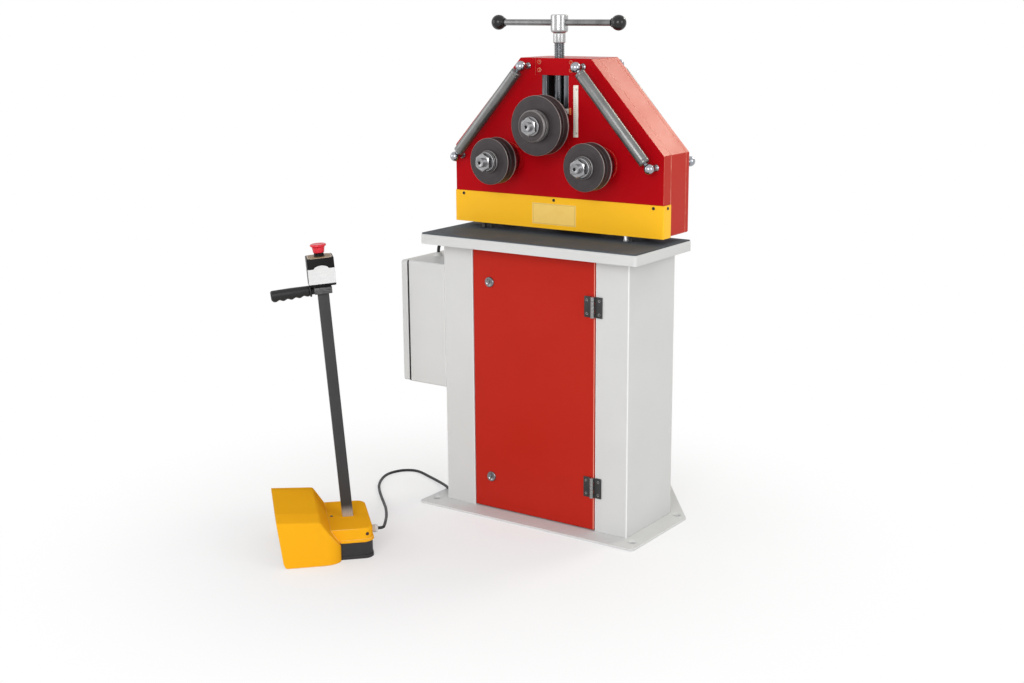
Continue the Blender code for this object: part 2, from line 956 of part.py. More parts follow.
def contactor_plate():
    wall_x = box_inner_x - box_wall - gap
    plate_back = wall_x - switch_post_length
    plate_face = plate_back - switch_plate_thickness
    margin = box_wall + switch_plate_margin
    y_range = (box_front + margin, box_back - margin)
    z_range = (box_bottom + margin, box_top - margin)
    plate = piece("contactor_plate", block((plate_face, plate_back), y_range, z_range),
                  dark_steel())
    post_inset = 2 * switch_post_radius
    for y in (y_range[0] + post_inset, y_range[1] - post_inset):
        for z in (z_range[0] + post_inset, z_range[1] - post_inset):
            fuse(plate, disc(switch_post_radius, "X", plate_back - weld_depth, wall_x,
                             (0, y, z), small_round))
    middle = (box_front + box_back) / 2
    seat = plate_face + weld_depth
    contactor_z = box_top - contactor_drop
    terminal_z = box_bottom + terminal_rise
    for y in (middle, contactor_y + middle):
        fuse(plate, block((plate_face - contactor_depth, seat),
                          (y - contactor_half_width, y + contactor_half_width),
                          (contactor_z - contactor_height / 2, contactor_z + contactor_height / 2)))
    fuse(plate, block((plate_face - terminal_depth, seat),
                      (middle - terminal_half_width, middle + terminal_half_width),
                      (terminal_z - terminal_height / 2, terminal_z + terminal_height / 2)))


def box_cable():
    """A short cable that bends from the box's gland into the stand's side."""
    start_z = box_top + box_cable_gland_height + gap
    points = [(box_cable_x, box_cable_y, start_z)]
    for step in range(box_cable_steps + 1):
        angle = math.pi / 2 * step / box_cable_steps
        points.append((
            box_cable_x + box_cable_bend * (1 - math.cos(angle)),
            box_cable_y,
            start_z + box_cable_radius + box_cable_bend * math.sin(angle),
        ))
    points.append((-column_half_width - gap, box_cable_y,
                   start_z + box_cable_radius + box_cable_bend))
    tube("box_cable", points, box_cable_radius, cord_black())


head_bottom = mat_top + head_lift
head_shoulder = head_bottom + head_shoulder_height
head_top = head_bottom + head_height
slot_bottom = head_bottom + slot_rise
slot_top = head_top - bridge_depth
lower_roll_z = head_bottom + lower_roll_rise
upper_roll_z = lower_roll_z + upper_roll_rise


def head_outline():
    return [
        (-head_half_width, head_bottom),
        (head_half_width, head_bottom),
        (head_half_width, head_shoulder),
        (head_top_half_width, head_top),
        (-head_top_half_width, head_top),
        (-head_half_width, head_shoulder),
    ]


def inset_outline(outline, distance):
    """The outline moved inwards by the same distance on every side."""
    made = []
    for i, corner in enumerate(outline):
        here = Vector(corner)
        before = (here - Vector(outline[i - 1])).normalized()
        after = (Vector(outline[(i + 1) % len(outline)]) - here).normalized()
        first = Vector((-before.y, before.x))
        second = Vector((-after.y, after.x))
        made.append(tuple(here + (first + second) * (distance / (1 + first.dot(second)))))
    return made


front_plate_back = front_plate_face + front_plate_thickness
rear_plate_back = rear_plate_face + rear_plate_thickness
roll_spacing = gear_module * (roll_gear_teeth + drive_gear_teeth) / 2


def head_studs(y):
    shapes = []
    for side in (-1, 1):
        shapes.append(disc(head_stud_radius, "Z", mat_top + gap, head_bottom + weld_depth,
                           (side * head_stud_x, y, 0), small_round))
    return shapes


def front_plate():
    """The thick plate with its open slot, the bearing bosses and two studs."""
    notch = bridge_half_width + gap
    outline = [
        (-head_half_width, head_bottom),
        (head_half_width, head_bottom),
        (head_half_width, head_shoulder),
        (head_top_half_width, head_top),
        (notch, head_top),
        (notch, slot_top),
        (slot_half_width, slot_top),
        (slot_half_width, slot_bottom),
        (-slot_half_width, slot_bottom),
        (-slot_half_width, slot_top),
        (-notch, slot_top),
        (-notch, head_top),
        (-head_top_half_width, head_top),
        (-head_half_width, head_shoulder),
    ]
    radii = [head_corner] * 4 + [0] * 8 + [head_corner] * 2
    plate = piece("front_plate", prism(rounded(outline, radii, 2), "Y", front_plate_face,
                                       front_plate_back), head_red())
    boss_face = front_plate_face - bearing_boss_height
    bosses = head_studs((front_plate_face + front_plate_back) / 2)
    bores = []
    for side in (-1, 1):
        centre = (side * roll_spacing, 0, lower_roll_z)
        bosses.append(disc(bearing_boss_radius, "Y", boss_face, front_plate_face + weld_depth,
                           centre))
        bores.append(disc(shaft_radius + running_gap, "Y", boss_face - overrun,
                          front_plate_back + overrun, centre))
    fuse(plate, joined(*bosses))
    cut(plate, joined(*bores))


def rear_plate():
    outline = rounded(head_outline(), head_corner, 2)
    plate = piece("rear_plate", prism(outline, "Y", rear_plate_face, rear_plate_back), head_red())
    through = (rear_plate_face - overrun, rear_plate_back + overrun)
    fuse(plate, joined(*head_studs((rear_plate_face + rear_plate_back) / 2)))
    bores = [disc(drive_shaft_radius + running_gap, "Y", *through, (0, 0, lower_roll_z))]
    for side in (-1, 1):
        bores.append(disc(shaft_radius + running_gap, "Y", *through,
                          (side * roll_spacing, 0, lower_roll_z)))
    cut(plate, joined(*bores))


def head_cover():
    start, stop = front_plate_back + gap, rear_plate_face - gap
    outline = rounded(head_outline(), head_corner, 2)
    cover = piece("head_cover", prism(outline, "Y", start, stop), head_red())
    cut(cover, prism(inset_outline(head_outline(), cover_sheet), "Y", start - overrun,
                     stop + overrun))
    cut(cover, block(both_sides(bridge_half_width + gap), (start - overrun, bridge_back + gap),
                     (slot_top, head_top + overrun)))


def top_bridge():
    bridge = piece("top_bridge",
                   block(both_sides(bridge_half_width), (front_plate_face, bridge_back),
                         (slot_top + gap, head_top)), head_red())
    cut(bridge, disc(screw_radius + running_gap, "Z", slot_top - overrun, head_top + overrun,
                     (0, screw_y, 0)))


def guide_bar(name, side):
    edges = sorted((side * guide_inner, side * (slot_half_width - gap)))
    piece(name, block(edges, (front_plate_face + guide_recess, front_plate_back),
                      (slot_bottom + gap, slot_top - gap)), dark_steel())


def lower_guard():
    inner = head_half_width + gap
    guard_bottom = head_bottom - guard_drop
    guard_top = guard_bottom + guard_height
    face = front_plate_face - gap
    guard = piece("lower_guard",
                  block(both_sides(inner + guard_sheet), (face - guard_sheet, guard_back),
                        (guard_bottom, guard_top)), guard_yellow())
    cut(guard, block(both_sides(inner), (face, guard_back + overrun),
                     (guard_bottom - overrun, guard_top + overrun)))


def strut(name, side, y, plate_face):
    """A tube between two ball joints, each on a stud in the plate."""
    upper = Vector((side * (head_top_half_width - strut_upper_inset), y,
                    head_top - strut_upper_drop))
    lower = Vector((side * (head_half_width - strut_lower_inset), y,
                    head_shoulder - strut_lower_drop))
    length = (lower - upper).length
    neck_angle = math.pi - math.asin(strut_neck_radius / strut_ball_radius)
    end = ball_profile(strut_ball_radius, 0, neck_angle, 5)
    end += [
        (strut_neck_radius, strut_tube_start),
        (strut_tube_radius - strut_tube_chamfer, strut_tube_start),
        (strut_tube_radius, strut_tube_start + strut_tube_chamfer),
    ]
    profile = end + [(radius, length - height) for radius, height in reversed(end)]
    brace = piece(name, aimed(turned(profile, "Z", steps=strut_round), upper, lower), tube_grey())
    towards = 1 if plate_face > y else -1
    contact = plate_face - towards * gap
    studs = []
    for spot in (upper, lower):
        profile = [
            (0, y),
            (strut_neck_radius, y),
            (strut_neck_radius, contact - towards * strut_collar_length),
            (strut_collar_radius, contact - towards * strut_collar_length),
            (strut_collar_radius, contact),
            (0, contact),
        ]
        studs.append(turned(profile, "Y", (spot.x, 0, spot.z), 8))
    fuse(brace, joined(*studs))


def gear_outline(teeth, phase):
    """Teeth with straight flanks, drawn between an involute's foot and tip."""
    pitch_radius = gear_module * teeth / 2
    base_radius = pitch_radius * math.cos(pressure_angle)
    foot_radius = pitch_radius - tooth_foot_share * gear_module
    tip_radius = pitch_radius + gear_module
    half_tooth = math.pi / (2 * teeth) - gear_backlash / (2 * pitch_radius)

    def half_angle(radius):
        if radius <= base_radius:
            roll = 0.0
        else:
            roll = math.acos(base_radius / radius)
        pitch_roll = math.tan(pressure_angle) - pressure_angle
        return half_tooth + pitch_roll - (math.tan(roll) - roll)

    radii = (foot_radius, tip_radius)
    outline = []
    for tooth in range(teeth):
        middle = phase + 2 * math.pi * tooth / teeth
        for radius in radii:
            angle = middle - half_angle(radius)
            outline.append((radius * math.cos(angle), radius * math.sin(angle)))
        for radius in reversed(radii):
            angle = middle + half_angle(radius)
            outline.append((radius * math.cos(angle), radius * math.sin(angle)))
    return outline


gear_back = gear_front + gear_width


def shaft_end_profile(face):
    """The shaft's front end with its centre hole, from the axis outwards."""
    return [
        (0, face + shaft_centre_depth),
        (shaft_centre_radius, face + shaft_centre_depth),
        (shaft_centre_radius, face),
        (shaft_radius - shaft_end_chamfer, face),
        (shaft_radius, face + shaft_end_chamfer),
    ]


def roll_discs(prefix, axis, radius, face, collar_radius, collar_length, nut_radius, nut_length):
    """Two discs with a groove between them, a stepped collar and a nut."""
    bore = shaft_radius + gap
    front_back = face + roll_front_width
    rear_front = front_back + roll_groove_width
    rear_back = rear_front + roll_rear_width
    collar_face = face - collar_length
    first_ring = face - collar_ring
    groove = first_ring - collar_groove
    profile = [
        (bore, collar_face),
        (collar_radius - nut_chamfer, collar_face),
        (collar_radius, collar_face + nut_chamfer),
        (collar_radius, groove),
        (collar_radius - collar_neck, groove),
        (collar_radius - collar_neck, first_ring),
        (collar_radius, first_ring),
        (collar_radius, face),
        (radius, face),
        (radius, front_back),
        (bore, front_back),
    ]
    piece(f"{prefix}_front_disc", turned(profile, "Y", steps=large_round), roll_steel(), axis)
    profile = [
        (bore, front_back + gap),
        (radius - roll_groove_depth, front_back + gap),
        (radius - roll_groove_depth, rear_front),
        (radius, rear_front),
        (radius, rear_back),
        (bore, rear_back),
    ]
    piece(f"{prefix}_rear_disc", turned(profile, "Y", steps=large_round), roll_steel(), axis)
    nut_back = collar_face - gap
    nut_face = nut_back - nut_length
    profile = [
        (bore, nut_face),
        (nut_radius - nut_chamfer, nut_face),
        (nut_radius, nut_face + nut_chamfer),
        (nut_radius, nut_back),
        (bore, nut_back),
    ]
    nut = piece(f"{prefix}_nut", turned(profile, "Y"), bright_steel(), axis)
    slots = []
    for side in (-1, 1):
        edges = sorted((side * (nut_radius - nut_slot_depth), side * (nut_radius + overrun)))
        depth = (nut_face - overrun, nut_back - nut_slot_half_width)
        slots.append(block(edges, depth, both_sides(nut_slot_half_width)))
        slots.append(block(both_sides(nut_slot_half_width), depth, edges))
    cut(nut, joined(*slots))
    return rear_back


def lower_roll(prefix, side):
    axis = frame_at(f"{prefix}_axis", (side * roll_spacing, 0, lower_roll_z))
    shoulder = gap + roll_discs(prefix, axis, lower_roll_radius, lower_roll_face,
                                lower_collar_radius, lower_collar_length,
                                lower_nut_radius, lower_nut_length)
    shoulder_end = front_plate_face - bearing_boss_height - running_gap
    tail = rear_plate_back - lower_shaft_tail
    profile = shaft_end_profile(lower_shaft_face) + [
        (shaft_radius, shoulder),
        (shaft_shoulder_radius, shoulder),
        (shaft_shoulder_radius, shoulder_end),
        (shaft_radius, shoulder_end),
        (shaft_radius, tail),
        (0, tail),
    ]
    piece(f"{prefix}_shaft", turned(profile, "Y"), bright_steel(), axis)
    phase = math.pi / roll_gear_teeth
    wheel = piece(f"{prefix}_gear",
                  prism(gear_outline(roll_gear_teeth, phase), "Y", gear_front, gear_back),
                  dark_steel(), axis)
    cut(wheel, disc(shaft_radius + gap, "Y", gear_front - overrun, gear_back + overrun))


def drive_pinion():
    """The drive gear with its shaft, which runs back into the gearbox."""
    axis = frame_at("drive_axis", (0, 0, lower_roll_z))
    wheel = piece("drive_pinion",
                  prism(gear_outline(drive_gear_teeth, 0), "Y", gear_front, gear_back),
                  dark_steel(), axis)
    fuse(wheel, disc(drive_shaft_radius, "Y", drive_shaft_front, gearbox_bore_end - overrun))


carriage_front = front_plate_face - carriage_nose
carriage_flange_front = front_plate_back + gap
carriage_flange_back = carriage_flange_front + carriage_flange


def upper_roll():
    axis = frame_at("upper_roll_axis", (0, 0, upper_roll_z))
    shoulder = gap + roll_discs("upper_roll", axis, upper_roll_radius, upper_roll_face,
                                upper_collar_radius, upper_collar_length,
                                upper_nut_radius, upper_nut_length)
    shoulder_end = front_plate_face - carriage_boss_height - running_gap
    tail = carriage_flange_back + running_gap
    profile = shaft_end_profile(upper_shaft_face) + [
        (shaft_radius, shoulder),
        (shaft_shoulder_radius, shoulder),
        (shaft_shoulder_radius, shoulder_end),
        (shaft_radius, shoulder_end),
        (shaft_radius, tail),
        (shaft_tail_collar_radius, tail),
        (shaft_tail_collar_radius, tail + shaft_tail_collar),
        (0, tail + shaft_tail_collar),
    ]
    piece("upper_roll_shaft", turned(profile, "Y"), bright_steel(), axis)


def carriage():
    """The block between the guide bars, in the frame of the roll's axis."""
    axis = frame_at("carriage_axis", (0, 0, upper_roll_z))
    bottom, top = -carriage_half_height, carriage_half_height
    body = piece("carriage_block",
                 block(both_sides(guide_inner - gap), (carriage_front, carriage_flange_back),
                       (bottom, top)), dark_steel(), axis)
    fuse(body, block(both_sides(carriage_flange_half_width),
                     (carriage_flange_front, carriage_flange_back - weld_depth / 4),
                     (bottom, top)))
    boss_face = front_plate_face - carriage_boss_height
    fuse(body, disc(carriage_boss_radius, "Y", boss_face, front_plate_face - gap))
    cut(body, disc(shaft_radius + running_gap, "Y", boss_face - overrun,
                   carriage_flange_back + overrun))
    cut(body, disc(screw_journal_radius + running_gap, "Z",
                   top - screw_journal_length - running_gap, top + overrun,
                   (0, screw_y, 0), small_round))
    pointer_back = carriage_front - gap
    pointer_range = (pointer_back - pointer_thickness, pointer_back)
    tip_top = top - pointer_drop
    tip_bottom = tip_top - pointer_tip_height
    pointer = piece("height_pointer",
                    block((pointer_tip_inner, pointer_tip_outer), pointer_range,
                          (tip_bottom, tip_top)), pointer_white(), axis)
    fuse(pointer, block((pointer_arm_inner, pointer_tip_inner + weld_depth), pointer_range,
                        (tip_top - pointer_arm_height, tip_top - gap)))


def lead_screw():
    """Screw, neck and hub in one, with the cross handle and its knobs."""
    axis = frame_at("screw_axis", (0, screw_y, 0))
    carriage_top = upper_roll_z + carriage_half_height
    handle_z = head_top + handle_rise
    hub_bottom, hub_top = handle_z - hub_below_handle, handle_z + hub_above_handle
    neck_bottom = hub_bottom - neck_length
    foot = carriage_top - screw_journal_length
    profile = [
        (0, foot),
        (screw_journal_radius, foot),
        (screw_journal_radius, carriage_top + gap),
        (screw_radius, carriage_top + gap),
        (screw_radius, neck_bottom),
        (neck_radius, neck_bottom),
        (neck_radius, hub_bottom),
        (hub_radius - hub_chamfer, hub_bottom),
        (hub_radius, hub_bottom + hub_chamfer),
        (hub_radius, hub_top - hub_chamfer / 2),
        (hub_radius - hub_chamfer / 2, hub_top),
        (0, hub_top),
    ]
    screw = piece("lead_screw", turned(profile, "Z"), bright_steel(), axis)
    cut(screw, disc(handle_radius + gap, "X", -hub_radius - overrun, hub_radius + overrun,
                    (0, 0, handle_z), small_round))
    inset = knob_radius - knob_bore_depth
    bar_start, bar_end = knob_left_x - inset, knob_right_x + inset
    piece("handle_bar", disc(handle_radius, "X", bar_start, bar_end, (0, 0, handle_z), small_round),
          dark_steel(), axis)
    for name, x, side in (("knob_left", knob_left_x, 1), ("knob_right", knob_right_x, -1)):
        flat_angle = math.acos(1 - knob_flat / knob_radius)
        outline = ball_profile(knob_radius, 0, math.pi - flat_angle, 8)
        profile = [(radius, side * height) for radius, height in outline]
        flat = profile[-1][1]
        profile.append((0, flat))
        knob = piece(name, turned(profile, "X", (x, 0, handle_z), 16), black_plastic(), axis)
        bore = sorted((side * (knob_radius - knob_bore_depth) - side * gap,
                       side * (knob_radius + overrun)))
        cut(knob, disc(handle_radius + gap, "X", *bore, (x, 0, handle_z), small_round))


def gearbox():
    start = rear_plate_back + gap
    centre = (0, 0, lower_roll_z)
    profile = [
        (0, start),
        (gearbox_flange_radius, start),
        (gearbox_flange_radius, start + gearbox_flange),
        (gearbox_radius, start + gearbox_flange),
        (gearbox_radius, gearbox_back),
        (0, gearbox_back),
    ]
    body = piece("gearbox", turned(profile, "Y", centre), drive_grey())
    fuse(body, disc(worm_housing_radius, "Z", lower_roll_z - worm_housing_half_height,
                    lower_roll_z + worm_housing_half_height,
                    (gearbox_axis_x, gearbox_axis_y, 0)))
    cut(body, disc(drive_shaft_radius + running_gap, "Y", start - overrun, gearbox_bore_end,
                   centre))


def finned_outline():
    """The motor's finned section."""
    outline = []
    for fin in range(motor_fins):
        middle = 2 * math.pi * fin / motor_fins
        quarter = math.pi / (2 * motor_fins)
        for angle, radius in (
            (middle - quarter, motor_radius - motor_fin_depth),
            (middle - quarter, motor_radius),
            (middle + quarter, motor_radius),
            (middle + quarter, motor_radius - motor_fin_depth),
        ):
            outline.append((gearbox_axis_x + radius * math.cos(angle),
                            gearbox_axis_y + radius * math.sin(angle)))
    return outline


def motor():
    centre = (gearbox_axis_x, gearbox_axis_y, 0)
    top = lower_roll_z - worm_housing_half_height - gap
    body_top = top - motor_flange
    body_bottom = body_top - motor_length
    bottom = body_bottom - motor_cowl_length
    drive = piece("motor", prism(finned_outline(), "Z", body_bottom, body_top), drive_grey())
    fuse(drive, disc(motor_flange_radius, "Z", body_top - weld_depth, top, centre))
    profile = [
        (0, bottom),
        (motor_cowl_radius - motor_chamfer, bottom),
        (motor_cowl_radius, bottom + motor_chamfer),
        (motor_cowl_radius, body_bottom + weld_depth),
        (0, body_bottom + weld_depth),
    ]
    fuse(drive, turned(profile, "Z", centre))
    box_middle = body_top - terminal_box_drop
    fuse(drive, block(
        (gearbox_axis_x - terminal_box_half_width, gearbox_axis_x + terminal_box_half_width),
        (gearbox_axis_y + motor_radius - 2 * motor_fin_depth,
         gearbox_axis_y + motor_radius + terminal_box_depth),
        (box_middle - terminal_box_height / 2, box_middle + terminal_box_height / 2)))


def hood_section(half, flat_half, foot_z, foot_y, shoulder, ridge):
    """Six points across the hood; shoulder and ridge are (y, z) pairs."""
    return [
        (-half, foot_y, foot_z),
        (-half, shoulder[0], shoulder[1]),
        (-flat_half, ridge[0], ridge[1]),
        (flat_half, ridge[0], ridge[1]),
        (half, shoulder[0], shoulder[1]),
        (half, foot_y, foot_z),
    ]


def lofted(sections):
    """A closed shape through sections that have the same number of points."""
    bm = bmesh.new()
    rings = [[bm.verts.new(spot) for spot in section] for section in sections]
    bm.faces.new(rings[0])
    bm.faces.new(rings[-1])
    for first, second in zip(rings, rings[1:]):
        for i in range(len(first)):
            j = (i + 1) % len(first)
            bm.faces.new((first[i], first[j], second[j], second[i]))
    bmesh.ops.triangulate(bm, faces=bm.faces[:])
    return bm


def hood_shape(wall, front_extra, foot_z):
    """The hood's outer form, or its inside where a wall is taken off."""
    half = hood_half_width - wall
    flat_half = hood_flat_half_width - wall / 2
    return lofted([
        hood_section(half, flat_half, foot_z, hood_front_bottom_y - front_extra,
                     (hood_front_shoulder_y - front_extra, hood_front_shoulder_z - wall),
                     (hood_front_y - front_extra, hood_front_z - wall)),
        hood_section(half, flat_half, foot_z, hood_ridge_y - wall / 2,
                     (hood_ridge_y - wall / 2, hood_ridge_shoulder_z - wall),
                     (hood_ridge_y - wall / 2, hood_ridge_z - wall)),
        hood_section(half, flat_half, foot_z, hood_rear_y - wall,
                     (hood_rear_y - wall, hood_rear_shoulder_z - wall),
                     (hood_rear_y - wall, pedal_rear_top - wall)),
    ])


def pedal_rear_outline(wall, front_y):
    corner = pedal_rear_corner - wall
    outline = rectangle(*both_sides(pedal_rear_half_width - wall), front_y,
                        pedal_rear_back - wall)
    return rounded(outline, [0, 0, corner, corner], 4)


def pole_frame(parent):
    return frame_at("pole_axis", (0, pole_foot_y, pedal_rear_top), (pole_lean, 0, 0), parent)


def pole_prism(half_width, corner, start, stop):
    """A square bar along the pole's axis, in the foot control's frame."""
    outline = rounded(rectangle(*both_sides(half_width), *both_sides(half_width)), corner, 2)
    bar = prism(outline, "Z", start, stop)
    lean = Matrix.Translation((0, pole_foot_y, pedal_rear_top)) @ Matrix.Rotation(pole_lean, 4, "X")
    bmesh.ops.transform(bar, matrix=lean, verts=bar.verts[:])
    return bar


def pedal_base(control):
    """A black tub under the rear body, with the floor and lugs of the treadles."""
    body = piece("pedal_base",
                 prism(pedal_rear_outline(0, pedal_rear_front + gap), "Z", 0, pedal_seam_z),
                 black_plastic(), control)
    cut(body, prism(pedal_rear_outline(pedal_wall, pedal_rear_front + pedal_wall), "Z",
                    pedal_floor, pedal_seam_z + overrun))
    inside = hood_half_width - pedal_wall - gap
    fuse(body, block(both_sides(inside), (pedal_floor_front, pedal_rear_front + weld_depth),
                     (0, pedal_floor)))
    lug_range = (treadle_axis_y - treadle_lug_half_depth, treadle_axis_y + treadle_lug_half_depth)
    lug_height = (pedal_floor - weld_depth, treadle_lug_top)
    fuse(body, block(both_sides(treadle_lug / 2), lug_range, lug_height))
    for side in (-1, 1):
        edges = sorted((side * (treadle_lug_outer - treadle_lug), side * treadle_lug_outer))
        fuse(body, block(edges, lug_range, lug_height))
    fuse(body, disc(treadle_rod_radius, "X", -treadle_lug_outer + weld_depth,
                    treadle_lug_outer - weld_depth, (0, treadle_axis_y, treadle_axis_z),
                    small_round))


def pedal_hood(control):
    """The yellow rear body and the hood over the treadles, one casting."""
    hood = piece("pedal_hood", hood_shape(0, 0, hood_foot_lift), pedal_yellow(), control)
    rear_front = hood_rear_y - pedal_wall + weld_depth
    fuse(hood, prism(pedal_rear_outline(0, rear_front), "Z", pedal_seam_z + gap, pedal_rear_top))
    cut(hood, hood_shape(pedal_wall, overrun, -overrun))
    cut(hood, prism(pedal_rear_outline(pedal_wall, pedal_rear_front + pedal_wall), "Z",
                    -overrun, pedal_rear_top - pedal_wall))
    inside = hood_half_width - pedal_wall
    cut(hood, block(both_sides(inside), (hood_rear_y - 2 * pedal_wall, pedal_rear_front + overrun),
                    (-overrun, pedal_floor + gap)))
    cut(hood, pole_prism(pole_half_width + gap, 0, -pedal_rear_top, pedal_rear_top))


def treadle(name, side, control):
    axis = frame_at(f"{name}_axis", (0, treadle_axis_y, treadle_axis_z), parent=control)
    rise = treadle_front_z - treadle_axis_z
    reach = treadle_front_y - treadle_axis_y
    outline = [
        (0, -treadle_thickness / 2),
        (reach, rise - treadle_thickness / 2),
        (reach, rise + treadle_thickness / 2),
        (0, treadle_thickness / 2),
    ]
    edges = sorted((side * treadle_inner_x, side * treadle_outer_x))
    pedal = piece(name, prism(outline, "X", *edges), dark_steel(), axis)
    fuse(pedal, disc(treadle_barrel_radius, "X", edges[0] + weld_depth / 4,
                     edges[1] - weld_depth / 4, steps=small_round))
    cut(pedal, disc(treadle_rod_radius + running_gap, "X", edges[0] - overrun,
                    edges[1] + overrun, steps=small_round))


clamp_top = pole_top - clamp_drop
clamp_bottom = clamp_top - clamp_height
grip_z = pole_top - grip_drop
pendant_bottom = pole_top + pendant_lift
pendant_top = pendant_bottom + pendant_height
cover_seam = pendant_bottom + cover_height


def pole_and_clamp(pole_axis):
    outline = rounded(rectangle(*both_sides(pole_half_width), *both_sides(pole_half_width)),
                      pole_corner, 2)
    foot = -(pedal_rear_top - pedal_floor - pole_seat_lift) / math.cos(pole_lean)
    mast = piece("pole", prism(outline, "Z", foot, pole_top), dark_steel(), pole_axis)
    inner = pole_half_width - pole_wall
    cut(mast, block(both_sides(inner), both_sides(inner), (foot - overrun, pole_top + overrun)))


def grip_radius(share):
    """The grip's radius along its length, thin at the clamp."""
    return share_of(grip_thin_radius, grip_thick_radius, min(1.0, share * grip_lobes / 2))


def grip(pole_axis):
    """A clamp round the pole with a hand grip that has finger lobes below."""
    outline = rounded(rectangle(*both_sides(clamp_half_width), *both_sides(clamp_half_width)),
                      clamp_corner, 2)
    handle = piece("grip", prism(outline, "Z", clamp_bottom, clamp_top), black_plastic(),
                   pole_axis)
    hole = pole_half_width + gap
    profile = [
        (0, -grip_start),
        (grip_flange_radius, -grip_start),
        (grip_flange_radius, -grip_start + grip_flange),
        (grip_neck_radius, -grip_start + grip_flange),
        (grip_neck_radius, -clamp_half_width + weld_depth),
        (0, -clamp_half_width + weld_depth),
    ]
    fuse(handle, turned(profile, "Y", (0, 0, grip_z)))
    sides = small_round
    stations = 3 * grip_lobes
    sections = []
    for station in range(stations + 1):
        share = station / stations
        y = -share_of(grip_start - weld_depth, grip_end, share)
        lobe = (1 - math.cos(2 * math.pi * grip_lobes * share)) / 2
        section = []
        for side in range(sides):
            angle = 2 * math.pi * side / sides
            below = max(0.0, -math.sin(angle))
            radius = grip_radius(share) + grip_lobe_height * lobe * below ** 2
            if station == stations:
                radius -= grip_end_round
            section.append((radius * math.cos(angle), y, grip_z + radius * math.sin(angle)))
        sections.append(section)
    fuse(handle, lofted(sections))
    cut(handle, block(both_sides(hole), both_sides(hole),
                      (clamp_bottom - overrun, clamp_top + overrun)))


def cover_outline(grow):
    """The pale cover's face: a rectangle with an arched top."""
    points = [
        (-pendant_half_depth, pendant_bottom),
        (pendant_half_depth, pendant_bottom),
        (pendant_half_depth, cover_seam + grow),
    ]
    half = cover_arch_half_width + grow
    steps = 8
    for step in range(steps + 1):
        angle = math.pi * step / steps
        points.append((half * math.cos(angle),
                       cover_seam + grow + cover_arch_rise * math.sin(angle)))
    points.append((-pendant_half_depth, cover_seam + grow))
    return points


def pendant(pole_axis):
    """The push-button housing, its pale front cover and the mushroom button."""
    outline = rectangle(*both_sides(pendant_half_width), *both_sides(pendant_half_depth))
    housing = piece("pendant_base",
                    prism(rounded(outline, pendant_corner, 3), "Z", pendant_bottom, pendant_top),
                    black_plastic(), pole_axis)
    cover_back = pendant_half_width - cover_thickness
    cut(housing, prism(cover_outline(gap), "X", cover_back, pendant_half_width + overrun))
    cut(housing, block((cover_back, pendant_half_width + overrun),
                       both_sides(pendant_half_depth + overrun),
                       (pendant_bottom - overrun, pendant_bottom + overrun)))
    for side in (-1, 1):
        edges = sorted((side * (pendant_half_depth - overrun),
                        side * (pendant_half_depth + overrun)))
        cut(housing, block((cover_back, pendant_half_width + overrun), edges,
                           (pendant_bottom - overrun, cover_seam + gap)))
    collar_top = pendant_top + button_collar_height
    fuse(housing, disc(button_collar_radius, "Z", pendant_top - weld_depth, collar_top,
                       steps=2 * small_round))
    cut(housing, disc(button_bore_radius, "Z", collar_top - button_bore_depth,
                      collar_top + overrun, steps=small_round))
    piece("pendant_cover",
          prism(cover_outline(0), "X", cover_back + gap, pendant_half_width), pale_plastic(),
          pole_axis)
    foot = collar_top + gap
    roof = foot + button_travel + overrun / 2
    stem_foot = collar_top - button_bore_depth + button_travel + gap
    rim = foot + button_cone_height
    top = foot + button_head_height
    profile = [
        (0, stem_foot),
        (button_bore_radius - running_gap, stem_foot),
        (button_bore_radius - running_gap, roof),
        (button_recess_radius, roof),
        (button_recess_radius, foot),
        (button_foot_radius, foot),
        (button_rim_radius, rim),
        (button_rim_radius, share_of(rim, top, 1 / 3)),
        (button_dome_radius, share_of(rim, top, 5 / 6)),
        (0, top),
    ]
    button_axis = frame_at("button_axis", (0, 0, 0), parent=pole_axis)
    piece("estop_button", turned(profile, "Z"), button_red(), button_axis)


gland_start = pedal_rear_back + gap
gland_end = gland_start + gland_length
stand_gland_face = -column_half_width - gap - stand_gland_length


def glands(control):
    profile = [
        (0, gland_start),
        (gland_radius, gland_start),
        (gland_radius, gland_start + gland_hex_length),
        (gland_radius - gap, gland_start + gland_hex_length),
        (gland_end_radius, gland_end),
        (0, gland_end),
    ]
    piece("cord_gland", turned(profile, "Y", (gland_x, 0, gland_z), small_round), pale_plastic(), control)
    start = -column_half_width - gap
    profile = [
        (0, stand_gland_face),
        (stand_gland_radius, stand_gland_face),
        (stand_gland_radius, start),
        (stand_gland_shank_radius, start),
        (stand_gland_shank_radius, -column_half_width + 2 * column_sheet),
        (0, -column_half_width + 2 * column_sheet),
    ]
    piece("stand_gland", turned(profile, "X", (0, stand_gland_y, stand_gland_z), small_round),
          black_plastic())


